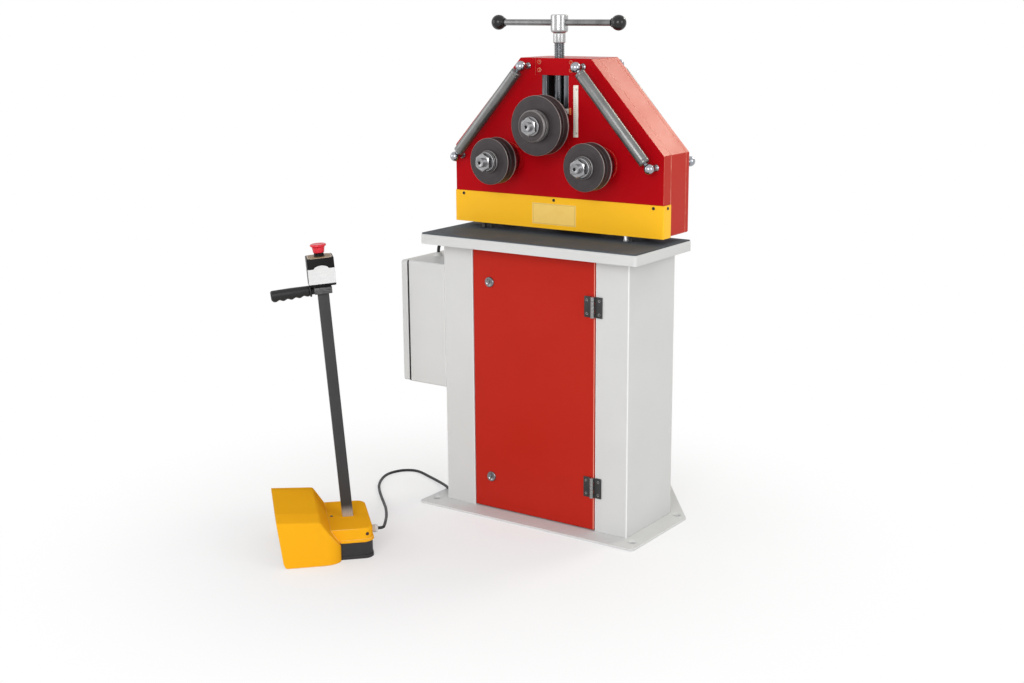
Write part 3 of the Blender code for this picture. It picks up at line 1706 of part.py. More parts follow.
def pedal_cord():
    """The cord from the foot control's gland across the floor to the stand."""
    turn = Matrix.Rotation(pedal_turn, 4, "Z")
    start = Vector((pedal_x, pedal_y, 0)) + turn @ Vector((gland_x, gland_end + gap, gland_z))
    ahead = turn @ Vector((0, 1, 0))
    end = Vector((stand_gland_face - gap, stand_gland_y, stand_gland_z))
    route = [
        start,
        start + ahead * 2 * cord_radius,
        (-0.1990, -0.4590, 0.0530),
        (-0.2055, -0.4400, 0.0490),
        (-0.2215, -0.4270, 0.0450),
        (-0.2520, -0.4030, 0.0380),
        (-0.2900, -0.3600, 0.0270),
        (-0.3360, -0.3020, 0.0165),
        (-0.3950, -0.2400, 0.0085),
        (-0.4366, -0.1939, 0.0046),
        (-0.5050, -0.1339, 0.0042),
        (-0.5506, -0.0767, 0.0042),
        (-0.5755, -0.0257, 0.0042),
        (-0.5804, 0.0228, 0.0042),
        (-0.5617, 0.0527, 0.0042),
        (-0.5252, 0.0651, 0.0042),
        (-0.4570, 0.0414, 0.0046),
        (-0.3978, 0.0134, 0.0066),
        (-0.3590, -0.0120, 0.0112),
        (-0.3350, -0.0300, 0.0140),
        (-0.3180, -0.0390, 0.0172),
        end - Vector((2 * cord_radius, 0, 0)),
        end,
    ]
    tube("pedal_cord", smooth_route(route, cord_point_step), cord_radius, cord_black())


def stand():
    base_plate()
    cabinet_shell()
    table()
    frame_leaf("upper_hinge_leaf", hinge_upper_z)
    frame_leaf("lower_hinge_leaf", hinge_lower_z)
    cabinet_door()


def switchgear():
    electrical_box()
    box_gasket()
    electrical_box_door()
    contactor_plate()
    box_cable()


def head():
    front_plate()
    rear_plate()
    head_cover()
    top_bridge()
    guide_bar("guide_bar_left", -1)
    guide_bar("guide_bar_right", 1)
    lower_guard()
    for side, name in ((-1, "left"), (1, "right")):
        strut(f"strut_front_{name}", side, strut_front_y, front_plate_face)
        strut(f"strut_rear_{name}", side, strut_rear_y, rear_plate_back)


def mechanism():
    upper_roll()
    lower_roll("left_roll", -1)
    lower_roll("right_roll", 1)
    drive_pinion()
    carriage()
    lead_screw()
    gearbox()
    motor()


def foot_control():
    control = frame_at("foot_control", (pedal_x, pedal_y, 0), (0, 0, pedal_turn))
    pedal_base(control)
    pedal_hood(control)
    treadle("treadle_left", -1, control)
    treadle("treadle_right", 1, control)
    pole_axis = pole_frame(control)
    pole_and_clamp(pole_axis)
    grip(pole_axis)
    pendant(pole_axis)
    glands(control)
    pedal_cord()


stand()
switchgear()
head()
mechanism()
foot_control()
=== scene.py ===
"""Dressed scene of a ring roller on a cabinet stand with a corded foot control.

Metres, +Z up, and the machine faces -Y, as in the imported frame.
"""

import math

import bmesh
import bpy
from mathutils import Matrix, Vector


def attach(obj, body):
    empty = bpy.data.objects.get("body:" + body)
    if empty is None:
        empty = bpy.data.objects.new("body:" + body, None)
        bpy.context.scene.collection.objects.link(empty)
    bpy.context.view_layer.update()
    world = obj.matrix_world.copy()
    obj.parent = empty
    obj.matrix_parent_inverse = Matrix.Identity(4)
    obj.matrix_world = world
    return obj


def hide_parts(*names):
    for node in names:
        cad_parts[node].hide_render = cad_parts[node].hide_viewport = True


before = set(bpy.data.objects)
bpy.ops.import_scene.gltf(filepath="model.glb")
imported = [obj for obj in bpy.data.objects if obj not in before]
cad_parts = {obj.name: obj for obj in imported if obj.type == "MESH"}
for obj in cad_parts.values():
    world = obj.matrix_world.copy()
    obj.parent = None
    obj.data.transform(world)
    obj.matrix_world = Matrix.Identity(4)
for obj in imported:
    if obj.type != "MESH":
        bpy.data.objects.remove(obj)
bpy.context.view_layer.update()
scene = bpy.context.scene
scene.view_settings.view_transform = "Standard"


# ---- Camera ----
# It stands to the right of the machine and a little above the table, turned
# to the left and down.

camera_data = bpy.data.cameras.new("camera")
camera_data.lens = 51.74
camera_data.sensor_width = 36.0
camera = bpy.data.objects.new("camera", camera_data)
scene.collection.objects.link(camera)
camera_turn, camera_tilt, camera_roll = (math.radians(a) for a in (34.848, 13.105, -0.428))
camera.matrix_world = (
    Matrix.Translation((2.1443, -3.2601, 1.3951))
    @ Matrix.Rotation(camera_turn, 4, "Z")
    @ Matrix.Rotation(math.pi / 2 - camera_tilt, 4, "X")
    @ Matrix.Rotation(camera_roll, 4, "Z")
)
scene.camera = camera


# ---- Cord of the foot control ----
# A black rubber flex of 8 mm from the foot control's gland, over the floor
# behind the pole and round to a gland low in the stand's left side.


class Wire:
    """One output inside a finish. Arithmetic on it adds Math nodes."""

    def __init__(self, finish, socket):
        self.finish = finish
        self.socket = socket

    def math(self, operation, *values):
        return self.finish.node("Math", {"operation": operation}, *values)

    def __add__(self, other):
        return self.math("ADD", self, other)

    def __sub__(self, other):
        return self.math("SUBTRACT", self, other)

    def __rsub__(self, other):
        return self.math("SUBTRACT", other, self)

    def __mul__(self, other):
        return self.math("MULTIPLY", self, other)

    def __abs__(self):
        return self.math("ABSOLUTE", self)

    def ramp(self, low, high, at_low=0.0, at_high=1.0):
        """A soft step from at_low to at_high as the value goes from low to high."""
        return self.finish.node("MapRange", {"interpolation_type": "SMOOTHSTEP"},
                                self, low, high, at_low, at_high)


class Finish:
    """A material in the making: node() adds a node and feeds its sockets."""

    def __init__(self, name, roughness, metallic=0.0, **fixed):
        self.material = bpy.data.materials.new(name)
        self.material.use_nodes = True
        self.tree = self.material.node_tree
        self.shader = self.tree.nodes["Principled BSDF"]
        self.set("Roughness", roughness)
        self.set("Metallic", metallic)
        for socket, value in fixed.items():
            self.set(socket.replace("_", " "), value)

    def node(self, kind, settings, *values, output=0, **named):
        made = self.tree.nodes.new("ShaderNode" + kind)
        for setting, value in settings.items():
            setattr(made, setting, value)
        for place, value in list(enumerate(values)) + list(named.items()):
            self.feed(made.inputs[place], value)
        return Wire(self, made.outputs[output])

    def feed(self, socket, value):
        if isinstance(value, Wire):
            self.tree.links.new(value.socket, socket)
        elif value is not None:
            socket.default_value = value

    def set(self, socket, value):
        self.feed(self.shader.inputs[socket], value)

    def place(self, centre=(0, 0, 0), scale=(1, 1, 1)):
        """Object coordinates, moved so that the centre is their origin."""
        here = self.node("TexCoord", {}, output="Object")
        moved = self.node("VectorMath", {"operation": "SUBTRACT"}, here, centre)
        return self.node("Mapping", {}, moved, Scale=scale)

    def xyz(self, vector):
        split = self.node("SeparateXYZ", {}, vector).socket.node
        return [Wire(self, socket) for socket in split.outputs]

    def noise(self, vector, scale, detail=2.0):
        return self.node("TexNoise", {}, Vector=vector, Scale=scale, Detail=detail)

    def streaks(self, along, scale, detail=3.0):
        """Noise that changes along one value only."""
        return self.node("TexNoise", {"noise_dimensions": "1D"}, W=along, Scale=scale,
                         Detail=detail)

    def colour(self, factor, first, second):
        """A colour between two, each an RGB triple or a wire."""
        mixer = self.tree.nodes.new("ShaderNodeMix")
        mixer.data_type = "RGBA"
        self.feed(mixer.inputs[0], factor)
        for place, value in ((6, first), (7, second)):
            self.feed(mixer.inputs[place], value if isinstance(value, Wire) else (*value, 1.0))
        return Wire(self, mixer.outputs[2])

    def rounded_normal(self, radius):
        """The normal with edges eased to the radius, as a bevel lights them."""
        return self.node("Bevel", {"samples": 6}, radius)

    def edges(self, radius):
        """1 at outer and inner edges, 0 on the faces."""
        flat = self.node("NewGeometry", {}, output="Normal")
        same = self.node("VectorMath", {"operation": "DOT_PRODUCT"},
                         self.rounded_normal(radius), flat, output=1)
        return same.ramp(0.995, 0.80)

    def relief(self, height, distance, strength=1.0, normal=None):
        self.set("Normal", self.node("Bump", {}, strength, distance, Height=height,
                                     Normal=normal))

    def seen(self):
        """1 for what the camera sees, also in a reflection or through glass."""
        rays = self.node("LightPath", {}).socket.node.outputs
        hidden = 1.0
        for kind in ("Is Camera Ray", "Is Glossy Ray", "Is Transmission Ray"):
            hidden = (1.0 - Wire(self, rays[kind])) * hidden
        return 1.0 - hidden


def shade(colour, share):
    return tuple(channel * share for channel in colour)


def rubber_sheath(name, colour=(0.018, 0.018, 0.019)):
    """Matt rubber with a slightly uneven, rubbed surface."""
    rubber = Finish(name, 0.55, Specular_IOR_Level=0.3)
    here = rubber.place()
    cloud = rubber.noise(here, 60.0, 3.0)
    rubber.set("Base Color", rubber.colour(cloud, shade(colour, 0.8), shade(colour, 1.6)))
    rubber.set("Roughness", cloud.ramp(0.3, 0.7, 0.45, 0.65))
    rubber.relief(rubber.noise(here, 1800.0), 0.0002, 0.5)
    return rubber.material


control_place = Matrix.Translation((-0.3097, -0.5172, 0)) @ Matrix.Rotation(
    math.radians(-43.7), 4, "Z")
cord_diameter = 0.008
cord_start = control_place @ Vector((0.050, 0.0866, 0.0568))
cord_ahead = control_place.to_3x3() @ Vector((0, cord_diameter, 0))
cord_end = Vector((-0.3016, -0.041, 0.018))
cord_route = [
    cord_start,
    cord_start + cord_ahead / 2,
    (-0.2077, -0.4800, 0.0567),
    (-0.2080, -0.4746, 0.0565),
    (-0.2103, -0.4702, 0.0560),
    (-0.2353, -0.4348, 0.0505),
    (-0.2914, -0.3623, 0.0370),
    (-0.3560, -0.2872, 0.0220),
    (-0.4189, -0.2213, 0.0095),
    (-0.4662, -0.1751, 0.0050),
    (-0.5060, -0.1350, 0.0042),
    (-0.5359, -0.1004, 0.0042),
    (-0.5623, -0.0580, 0.0042),
    (-0.5784, -0.0166, 0.0042),
    (-0.5784, 0.0156, 0.0042),
    (-0.5615, 0.0500, 0.0042),
    (-0.5252, 0.0651, 0.0042),
    (-0.4570, 0.0414, 0.0046),
    (-0.3978, 0.0134, 0.0066),
    (-0.3590, -0.0120, 0.0112),
    (-0.3350, -0.0300, 0.0140),
    (-0.3180, -0.0390, 0.0172),
    cord_end - Vector((cord_diameter, 0, 0)),
    cord_end,
]


def mounted(made, body, node=None):
    """Sets a piece on its body and the CAD node it stands for."""
    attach(made, body)
    if node:
        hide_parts(node)
    return made


def cable(name, route, diameter, material):
    """A round cable whose centreline runs smoothly through the route."""
    points = [Vector(point) for point in route]
    curve = bpy.data.curves.new(name, "CURVE")
    curve.dimensions = "3D"
    curve.bevel_depth = diameter / 2
    curve.bevel_resolution = 6
    curve.resolution_u = 8
    curve.use_fill_caps = True
    spline = curve.splines.new("BEZIER")
    spline.bezier_points.add(len(points) - 1)
    for i, knot in enumerate(spline.bezier_points):
        before, after = points[max(i - 1, 0)], points[min(i + 1, len(points) - 1)]
        along = (after - before).normalized()
        knot.co = points[i]
        knot.handle_left = points[i] - along * (points[i] - before).length / 3
        knot.handle_right = points[i] + along * (after - points[i]).length / 3
    curve.materials.append(material)
    made = bpy.data.objects.new(name, curve)
    scene.collection.objects.link(made)
    return made


sheath_black = rubber_sheath("sheath_black")
pedal_flex = cable("pedal_flex", cord_route, cord_diameter, sheath_black)
mounted(pedal_flex, "machine", "pedal_cord")


def spun(name, profile, axis, centre, material, steps=64, round_by=0.0, place=None):
    """A turned piece: its profile of (radius, height) pairs, spun round the axis.

    The profile runs from end to end on the axis, or once round a ring.
    """
    bm = bmesh.new()
    up = {"X": Vector((1, 0, 0)), "Y": Vector((0, 1, 0)), "Z": Vector((0, 0, 1))}[axis]
    out = Vector((0, 0, 1)) if axis != "Z" else Vector((1, 0, 0))
    knots = [bm.verts.new(out * radius + up * height) for radius, height in profile]
    for first, second in zip(knots, knots[1:]):
        bm.edges.new((first, second))
    if profile[0][0] > 0:
        bm.edges.new((knots[-1], knots[0]))
    if round_by:
        corners = [knot for knot, (radius, height) in zip(knots, profile) if radius > 0]
        bmesh.ops.bevel(bm, geom=corners, offset=round_by, segments=3, profile=0.5,
                        affect="VERTICES", material=-1, clamp_overlap=True)
    bmesh.ops.spin(bm, geom=bm.verts[:] + bm.edges[:], cent=(0, 0, 0), axis=up,
                   dvec=(0, 0, 0), angle=2 * math.pi, steps=steps, use_merge=True)
    bmesh.ops.remove_doubles(bm, verts=bm.verts[:], dist=1e-6)
    bmesh.ops.translate(bm, vec=centre, verts=bm.verts[:])
    return finished(name, bm, material, place)


def finished(name, bm, material, place=None, crease=30.0):
    """The bmesh as a piece, laid in place, with faces outwards and soft shading."""
    if place is not None:
        bmesh.ops.transform(bm, matrix=place, verts=bm.verts[:])
    bmesh.ops.recalc_face_normals(bm, faces=bm.faces[:])
    mesh = bpy.data.meshes.new(name)
    bm.to_mesh(mesh)
    bm.free()
    mesh.materials.append(material)
    mesh.shade_smooth()
    mesh.set_sharp_from_angle(angle=math.radians(crease))
    made = bpy.data.objects.new(name, mesh)
    scene.collection.objects.link(made)
    return made


def moulded(name, colour, roughness, grain=2500.0, depth=0.00008, gloss=0.35):
    """Moulded plastic with a fine spark-eroded grain and slightly rubbed edges."""
    plastic = Finish(name, roughness, Specular_IOR_Level=gloss)
    here = plastic.place()
    cloud = plastic.noise(here, 35.0, 3.0)
    body = plastic.colour(cloud, shade(colour, 0.9), shade(colour, 1.1))
    rubbed = tuple(channel * 0.75 + 0.06 for channel in colour)
    plastic.set("Base Color", plastic.colour(plastic.edges(0.0008) * 0.4, body, rubbed))
    plastic.set("Roughness", cloud.ramp(0.3, 0.7, roughness - 0.06, roughness + 0.08))
    plastic.relief(plastic.noise(here, grain, 1.0), depth, 0.6)
    return plastic.material


gland_grey = moulded("gland_grey", (0.62, 0.62, 0.61), 0.42)
gland_black = moulded("gland_black", (0.030, 0.030, 0.031), 0.42)


def edges_of(knots):
    return list({edge for knot in knots for edge in knot.link_edges})


def bevelled(bm, edges, offset, steps):
    """Rounds the edges off."""
    bmesh.ops.bevel(bm, geom=edges, offset=offset, segments=steps, profile=0.5,
                    affect="EDGES", material=-1)


def rod(bm, radius, length, centre=(0, 0, 0), sides=28):
    """A cylinder along Z, added to the bmesh; gives its corners."""
    made = bmesh.ops.create_cone(bm, cap_ends=True, segments=sides, radius1=radius,
                                 radius2=radius, depth=length)["verts"]
    bmesh.ops.translate(bm, vec=centre, verts=made)
    return made


def hexagon_nut(bm, across, start, stop, ease):
    """A hexagon along Z with eased edges, added to the bmesh."""
    made = rod(bm, across, stop - start, (0, 0, (start + stop) / 2), 6)
    bevelled(bm, edges_of(made), ease, 2)


# The foot control's gland: a hexagon, a domed nut that narrows and a rubber collar
gland_axis = control_place @ Matrix.Translation((0.050, 0.0683, 0.0568)) @ Matrix.Rotation(
    -math.pi / 2, 4, "X")
pedal_gland = spun("pedal_gland_nut", [
    (0, 0.0006), (0.0100, 0.0006), (0.0100, 0.0078), (0.0107, 0.0082), (0.0107, 0.0120),
    (0.0090, 0.0166), (0.0058, 0.0174), (0, 0.0174)],
    "Z", (0, 0, 0), gland_grey, 32, 0.0005, gland_axis)
hexagon = bmesh.new()
hexagon_nut(hexagon, 0.0109, 0.0004, 0.0062, 0.0006)
pedal_gland_hexagon = finished("pedal_gland_hexagon", hexagon, gland_grey, gland_axis)
pedal_gland_seal = spun("pedal_gland_seal", [
    (0.0042, 0.0150), (0.0060, 0.0150), (0.0052, 0.0180), (0.0042, 0.0180)],
    "Z", (0, 0, 0), gland_black, 32, 0.0003, gland_axis)
stand_left = -0.2953
stand_gland_axis = Matrix.Translation((stand_left, -0.041, 0.018)) @ Matrix.Rotation(
    -math.pi / 2, 4, "Y")
stand_gland = spun("stand_gland_nut", [
    (0.0042, 0.0004), (0.0088, 0.0004), (0.0088, 0.0034), (0.0072, 0.0058), (0.0042, 0.0059)],
    "Z", (0, 0, 0), gland_black, 32, 0.0004, stand_gland_axis)
mounted(pedal_gland, "machine", "cord_gland")
mounted(pedal_gland_hexagon, "machine")
mounted(pedal_gland_seal, "machine")
mounted(stand_gland, "machine", "stand_gland")


# ---- Floor, backdrop and light ----
# A pale matt studio floor under large soft lamps, one of them behind and above
# so that the upper faces carry a sheen.

floor_bm = bmesh.new()
bmesh.ops.create_grid(floor_bm, x_segments=1, y_segments=1, size=14.0)
floor_finish = Finish("studio_floor", 0.8)
floor_here = floor_finish.place((-0.1, -0.25, 0))
floor_cloud = floor_finish.noise(floor_here, 3.0, 2.0)
floor_finish.set("Base Color", floor_finish.colour(floor_cloud, (0.84, 0.84, 0.84),
                                                   (0.86, 0.86, 0.86)))
# Away from the machine the floor turns to plain white, as a lit backdrop does
away = floor_finish.node("VectorMath", {"operation": "LENGTH"}, floor_here, output=1)
white = floor_finish.node("Emission", {}, (1.0, 1.0, 1.0, 1.0), 1.0)
floor_out = floor_finish.tree.nodes["Material Output"].inputs["Surface"]
floor_finish.feed(floor_out, floor_finish.node(
    "MixShader", {}, away.ramp(0.25, 1.25, 0.45, 1.0) * floor_finish.seen(),
    Wire(floor_finish, floor_finish.shader.outputs[0]), white))
floor = finished("studio_floor", floor_bm, floor_finish.material)


class Backdrop(Finish):
    """The world's own nodes, used like a material's."""

    def __init__(self, world):
        world.use_nodes = True
        self.tree = world.node_tree
        self.shader = self.tree.nodes["Background"]


scene.world = bpy.data.worlds.new("studio")
studio = Backdrop(scene.world)
studio.set("Color", (1.0, 1.0, 1.0, 1.0))
studio.set("Strength", studio.seen() * 0.5 + 0.5)


def soft_lamp(name, spot, aim, width, height, power, colour=(1.0, 1.0, 1.0)):
    lamp = bpy.data.lights.new(name, "AREA")
    lamp.shape = "RECTANGLE"
    lamp.size, lamp.size_y = width, height
    lamp.energy = power
    lamp.color = colour
    made = bpy.data.objects.new(name, lamp)
    scene.collection.objects.link(made)
    made.matrix_world = Matrix.Translation(spot) @ (
        Vector(aim) - Vector(spot)).to_track_quat("-Z", "Y").to_matrix().to_4x4()


soft_lamp("lamp_front", (1.5, -4.4, 2.2), (0, 0, 0.65), 2.4, 2.4, 97)
soft_lamp("lamp_left", (-3.4, -2.4, 1.8), (0, 0, 0.6), 2.4, 2.4, 38)
soft_lamp("lamp_right", (4.2, -0.6, 2.0), (0, 0, 0.7), 2.2, 2.6, 49)
soft_lamp("lamp_behind", (1.2, 3.8, 3.4), (0, 0, 0.9), 1.3, 1.0, 62, (1.0, 0.93, 0.80))


# ---- Base plate ----
# A 6 mm steel plate under the stand, cut to a point behind it, powder coated
# light grey like the sheet metal, with plated rings in its anchor holes.


def powder_coat(name, colour, roughness, grain=900.0, depth=0.00012, edge_radius=0.0012,
                edge_highlight_share=0.35, gloss=0.15, thin_lit_edge=None, ease=None, folds=()):
    """Powder coat on steel: a fine orange peel, slow cloudiness, and edges made lighter, partly
    for thin paint and partly as a painted highlight.

    thin_lit_edge is the colour on the edges; edge_highlight_share is how far the edges take it;
    ease rounds their shading further; folds are the x, y and half width of upright folds along
    which a painted highlight line is laid.
    """
    paint = Finish(name, roughness, Specular_IOR_Level=gloss)
    here = paint.place()
    x, y = paint.xyz(here)[:2]
    cloud = paint.noise(here, 6.0, 4.0)
    body = paint.colour(cloud, shade(colour, 0.95), shade(colour, 1.05))
    thin_lit_edge = thin_lit_edge or tuple(channel * 0.8 + 0.16 for channel in colour)
    # Edges lighter, for thin paint and as painted highlight; the lines along the folds are
    # painted highlights
    worn_and_lit_edges = paint.edges(edge_radius) * paint.noise(here, 45.0, 3.0).ramp(0.3, 0.7, 0.5, 1.0)
    edge_and_fold_highlight = worn_and_lit_edges * edge_highlight_share
    for fold_x, fold_y, half in folds:
        edge_and_fold_highlight = edge_and_fold_highlight + (abs(x - fold_x).ramp(half, half + 0.0006, 0.5, 0.0)
                           * abs(y - fold_y).ramp(half, half + 0.0006, 1.0, 0.0))
    paint.set("Base Color", paint.colour(edge_and_fold_highlight, body, thin_lit_edge))
    peel = paint.noise(here, grain, 1.0)
    paint.set("Roughness", cloud.ramp(0.3, 0.7, roughness - 0.04, roughness + 0.06))
    paint.relief(peel, depth, 0.5, paint.rounded_normal(ease or edge_radius))
    return paint.material


def even_shading(made):
    """Weights the normals by area, so that flat faces look flat beside their edges."""
    weighing = made.modifiers.new("even", "WEIGHTED_NORMAL")
    weighing.weight = 100
    weighing.keep_sharp = True


def eased(name, node, material, body, ease):
    """A copy of a CAD node with its sharp edges rounded, which stands for the node."""
    bm = bmesh.new()
    bm.from_mesh(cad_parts[node].data)
    bmesh.ops.remove_doubles(bm, verts=bm.verts[:], dist=2e-6)
    bmesh.ops.dissolve_limit(bm, angle_limit=math.radians(0.5), verts=bm.verts[:],
                             edges=bm.edges[:])
    made = finished(name, bm, material, crease=180.0)
    rounding = made.modifiers.new("ease", "BEVEL")
    rounding.width = ease
    rounding.segments = 2
    rounding.limit_method = "ANGLE"
    rounding.angle_limit = math.radians(40)
    even_shading(made)
    return mounted(made, body, node)


# Its near-white edges and the lines down the column's and stile's corners and the tray's front
# corners are painted highlights
grey_coat = powder_coat("grey_powder_coat", (0.625, 0.63, 0.625), 0.42, edge_radius=0.0026,
                        edge_highlight_share=0.95, thin_lit_edge=(1.0, 1.0, 0.99), ease=0.0015,
                        folds=[(side * x, y, half) for side in (-1, 1) for x, y, half in (
                            (0.2942, -0.0822, 0.0016), (0.1975, -0.0830, 0.0009),
                            (0.3395, -0.1275, 0.0014))])
eased("base_plate_coated", "base_plate", grey_coat, "machine", 0.0012)


def edges_in(parts):
    return [part for part in parts if isinstance(part, bmesh.types.BMEdge)]


def corners_in(parts):
    return [part for part in parts if isinstance(part, bmesh.types.BMVert)]


def clouded(name, roughness, metallic, scale, detail, dark, light, sheen, relief=0.0,
            edge=None, **fixed):
    """A finish whose colour and roughness each drift between two values.

    edge gives the radius, share and colour of the rubbed edges.
    """
    finish = Finish(name, roughness, metallic, **fixed)
    cloud = finish.noise(finish.place(), scale, detail)
    body = finish.colour(cloud, dark, light)
    if edge:
        radius, share, rubbed = edge
        body = finish.colour(finish.edges(radius) * share, body, rubbed)
    finish.set("Base Color", body)
    finish.set("Roughness", cloud.ramp(0.3, 0.7, *sheen))
    if relief:
        finish.relief(cloud, relief, 0.2)
    return finish.material


zinc_plate = clouded("zinc_plated_steel", 0.32, 0.9, 180.0, 3.0, (0.42, 0.42, 0.43),
                     (0.62, 0.62, 0.62), (0.24, 0.42))
anchor_holes = bmesh.new()
for side in (-1, 1):
    for x, y in ((0.322, -0.098), (0.318, 0.152), (0.140, 0.352)):
        ring = bmesh.ops.create_circle(anchor_holes, cap_ends=True, segments=32,
                                       radius=0.0076)["verts"]
        bmesh.ops.translate(anchor_holes, vec=(side * x, y, 0.0005), verts=ring)
        rim = edges_of(ring)
        next(iter(rim[0].link_faces)).material_index = 1
        for grow, lift in ((1.0, 0.0056), (1.35, 0.0004), (1.1, 0.0006)):
            grown = bmesh.ops.extrude_edge_only(anchor_holes, edges=rim)["geom"]
            rim = edges_in(grown)
            lifted = corners_in(grown)
            for knot in lifted:
                knot.co.x = side * x + (knot.co.x - side * x) * grow
                knot.co.y = y + (knot.co.y - y) * grow
                knot.co.z += lift
anchor_rings = finished("anchor_hole_rings", anchor_holes, zinc_plate)
anchor_rings.data.materials.append(grey_coat)
mounted(anchor_rings, "machine")


# ---- Cabinet stand ----
# A folded column of 2.5 mm sheet with a door opening in front, whose edges
# turn inwards beside the door.

column = eased("stand_column", "cabinet_shell", grey_coat, "machine", 0.0011)
# The sheet's edges that stand on the base plate are left open
foot = bmesh.new()
foot.from_mesh(column.data)
bmesh.ops.delete(foot, geom=[face for face in foot.faces if face.calc_center_median().z < 0.0065],
                 context="FACES_ONLY")
foot.to_mesh(column.data)
foot.free()


# ---- Table and its mat ----
# A shallow sheet tray with rounded front corners, open at the back, under a
# dark rubber mat with a moulded rim.


def slab(bm, low, high, ease=0.0, steps=2):
    """A block with eased edges, added to the bmesh."""
    made = bmesh.ops.create_cube(bm, size=1.0)["verts"]
    bmesh.ops.scale(bm, vec=Vector(high) - Vector(low), verts=made)
    bmesh.ops.translate(bm, vec=(Vector(high) + Vector(low)) / 2, verts=made)
    if ease:
        bevelled(bm, edges_of(made), ease, steps)


def sheet_pan(name, low, high, open_sides, fold, corner, wall, material):
    """A folded sheet pan: a box without its open sides, rounded and given its wall.

    open_sides are the outward directions of the missing faces; corner rounds
    the edges along the pan's depth, fold the others.
    """
    bm = bmesh.new()
    slab(bm, low, high)
    missing = [face for face in bm.faces
               if any(face.normal.dot(Vector(side)) > 0.9 for side in open_sides)]
    bmesh.ops.delete(bm, geom=missing, context="FACES")
    depth = Vector(open_sides[0])
    if corner:
        deep = [edge for edge in bm.edges if len(edge.link_faces) == 2
                and abs((edge.verts[0].co - edge.verts[1].co).normalized().dot(depth)) > 0.9]
        bevelled(bm, deep, corner, 6)
    folds = [edge for edge in bm.edges if len(edge.link_faces) == 2
             and edge.calc_face_angle() > math.radians(50)]
    bevelled(bm, folds, fold, 3)
    made = finished(name, bm, material, crease=50.0)
    thick = made.modifiers.new("wall", "SOLIDIFY")
    thick.thickness = wall
    thick.offset = -1.0
    thick.use_even_offset = True
    even_shading(made)
    return made


tray = sheet_pan("table_tray", (-0.340, -0.128, 0.744), (0.340, 0.159, 0.771),
                 ((0, 0, -1), (0, 1, 0)), 0.0022, 0.008, 0.003, grey_coat)
mounted(tray, "machine", "table_top")

mat_finish = Finish("mat_rubber", 0.62, Specular_IOR_Level=0.08)
mat_here = mat_finish.place()
mat_x = mat_finish.xyz(mat_here)[0]
mat_cloud = mat_finish.noise(mat_here, 14.0, 5.0)
mat_rim = abs(mat_x).ramp(0.3355, 0.3375)
mat_body = mat_finish.colour(mat_cloud, (0.080, 0.095, 0.110), (0.101, 0.119, 0.138))
mat_finish.set("Base Color", mat_finish.colour(mat_rim * 0.45, mat_body, (0.03, 0.03, 0.03)))
mat_finish.set("Roughness", mat_cloud.ramp(0.3, 0.7, 0.56, 0.7))
mat_finish.relief(mat_finish.noise(mat_here, 1400.0, 1.0), 0.0002, 0.5)
eased("table_mat", "rubber_mat", mat_finish.material, "machine", 0.0009)


# ---- Cabinet door ----
# A flat red pan with folded edges that sits in the opening, with two
# stiffening ribs inside.

door_face = -0.083
# Its pale edges and the line along the door's right fold are painted highlights
door_coat = powder_coat("door_red_coat", (0.455, 0.019, 0.010), 0.36, 1100.0, 0.0001, 0.0024,
                        0.95, 0.09, (1.0, 0.46, 0.34), 0.0015,
                        folds=((0.1924, door_face, 0.0011),))
door_pan = sheet_pan("door_pan", (-0.195, door_face, 0.0088), (0.195, -0.065, 0.741),
                     ((0, 1, 0),), 0.0022, 0.0, 0.0018, door_coat)
mounted(door_pan, "door", "cabinet_door")

ribs = bmesh.new()
for z in (0.24, 0.51):
    slab(ribs, (-0.1925, -0.0805, z), (0.1925, -0.070, z + 0.030), 0.002)
mounted(finished("door_stiffeners", ribs, door_coat), "door")


# ---- Hinges of the door ----
# Two blackened butt hinges on the face: a leaf on the door, a leaf on the
# stile, five knuckles on a bright pin, and countersunk screws.

hinge_black = clouded("hinge_black", 0.42, 0.55, 220.0, 4.0, (0.022, 0.022, 0.023),
                      (0.060, 0.060, 0.060), (0.34, 0.52),
                      edge=(0.0007, 0.7, (0.30, 0.29, 0.28)))
barrel_steel = clouded("hinge_barrel_steel", 0.22, 1.0, 260.0, 3.0, (0.20, 0.20, 0.20),
                       (0.42, 0.42, 0.42), (0.16, 0.30))
faces_front = Matrix.Rotation(math.pi / 2, 4, "X")
faces_back = Matrix.Rotation(-math.pi / 2, 4, "X")


def countersunk_screw(bm, centre, radius):
    """A flat screw head facing -Y, with a sunk recess."""
    made = bmesh.ops.create_circle(bm, cap_ends=True, segments=24, radius=radius)
    head = made["verts"]
    face = head[0].link_faces[0]
    sunk = bmesh.ops.inset_region(bm, faces=[face], thickness=radius * 0.12, depth=0.0)
    core = bmesh.ops.inset_individual(bm, faces=[face], thickness=radius * 0.36,
                                      depth=-radius * 0.08)
    pit = bmesh.ops.inset_individual(bm, faces=[face], thickness=radius * 0.06,
                                     depth=-radius * 0.32)
    knots = set(head)
    for result in (sunk, core, pit):
        for part in result["faces"]:
            knots.update(part.verts)
    knots.update(face.verts)
    bmesh.ops.transform(bm, matrix=Matrix.Translation(centre) @ faces_front,
                        verts=list(knots))


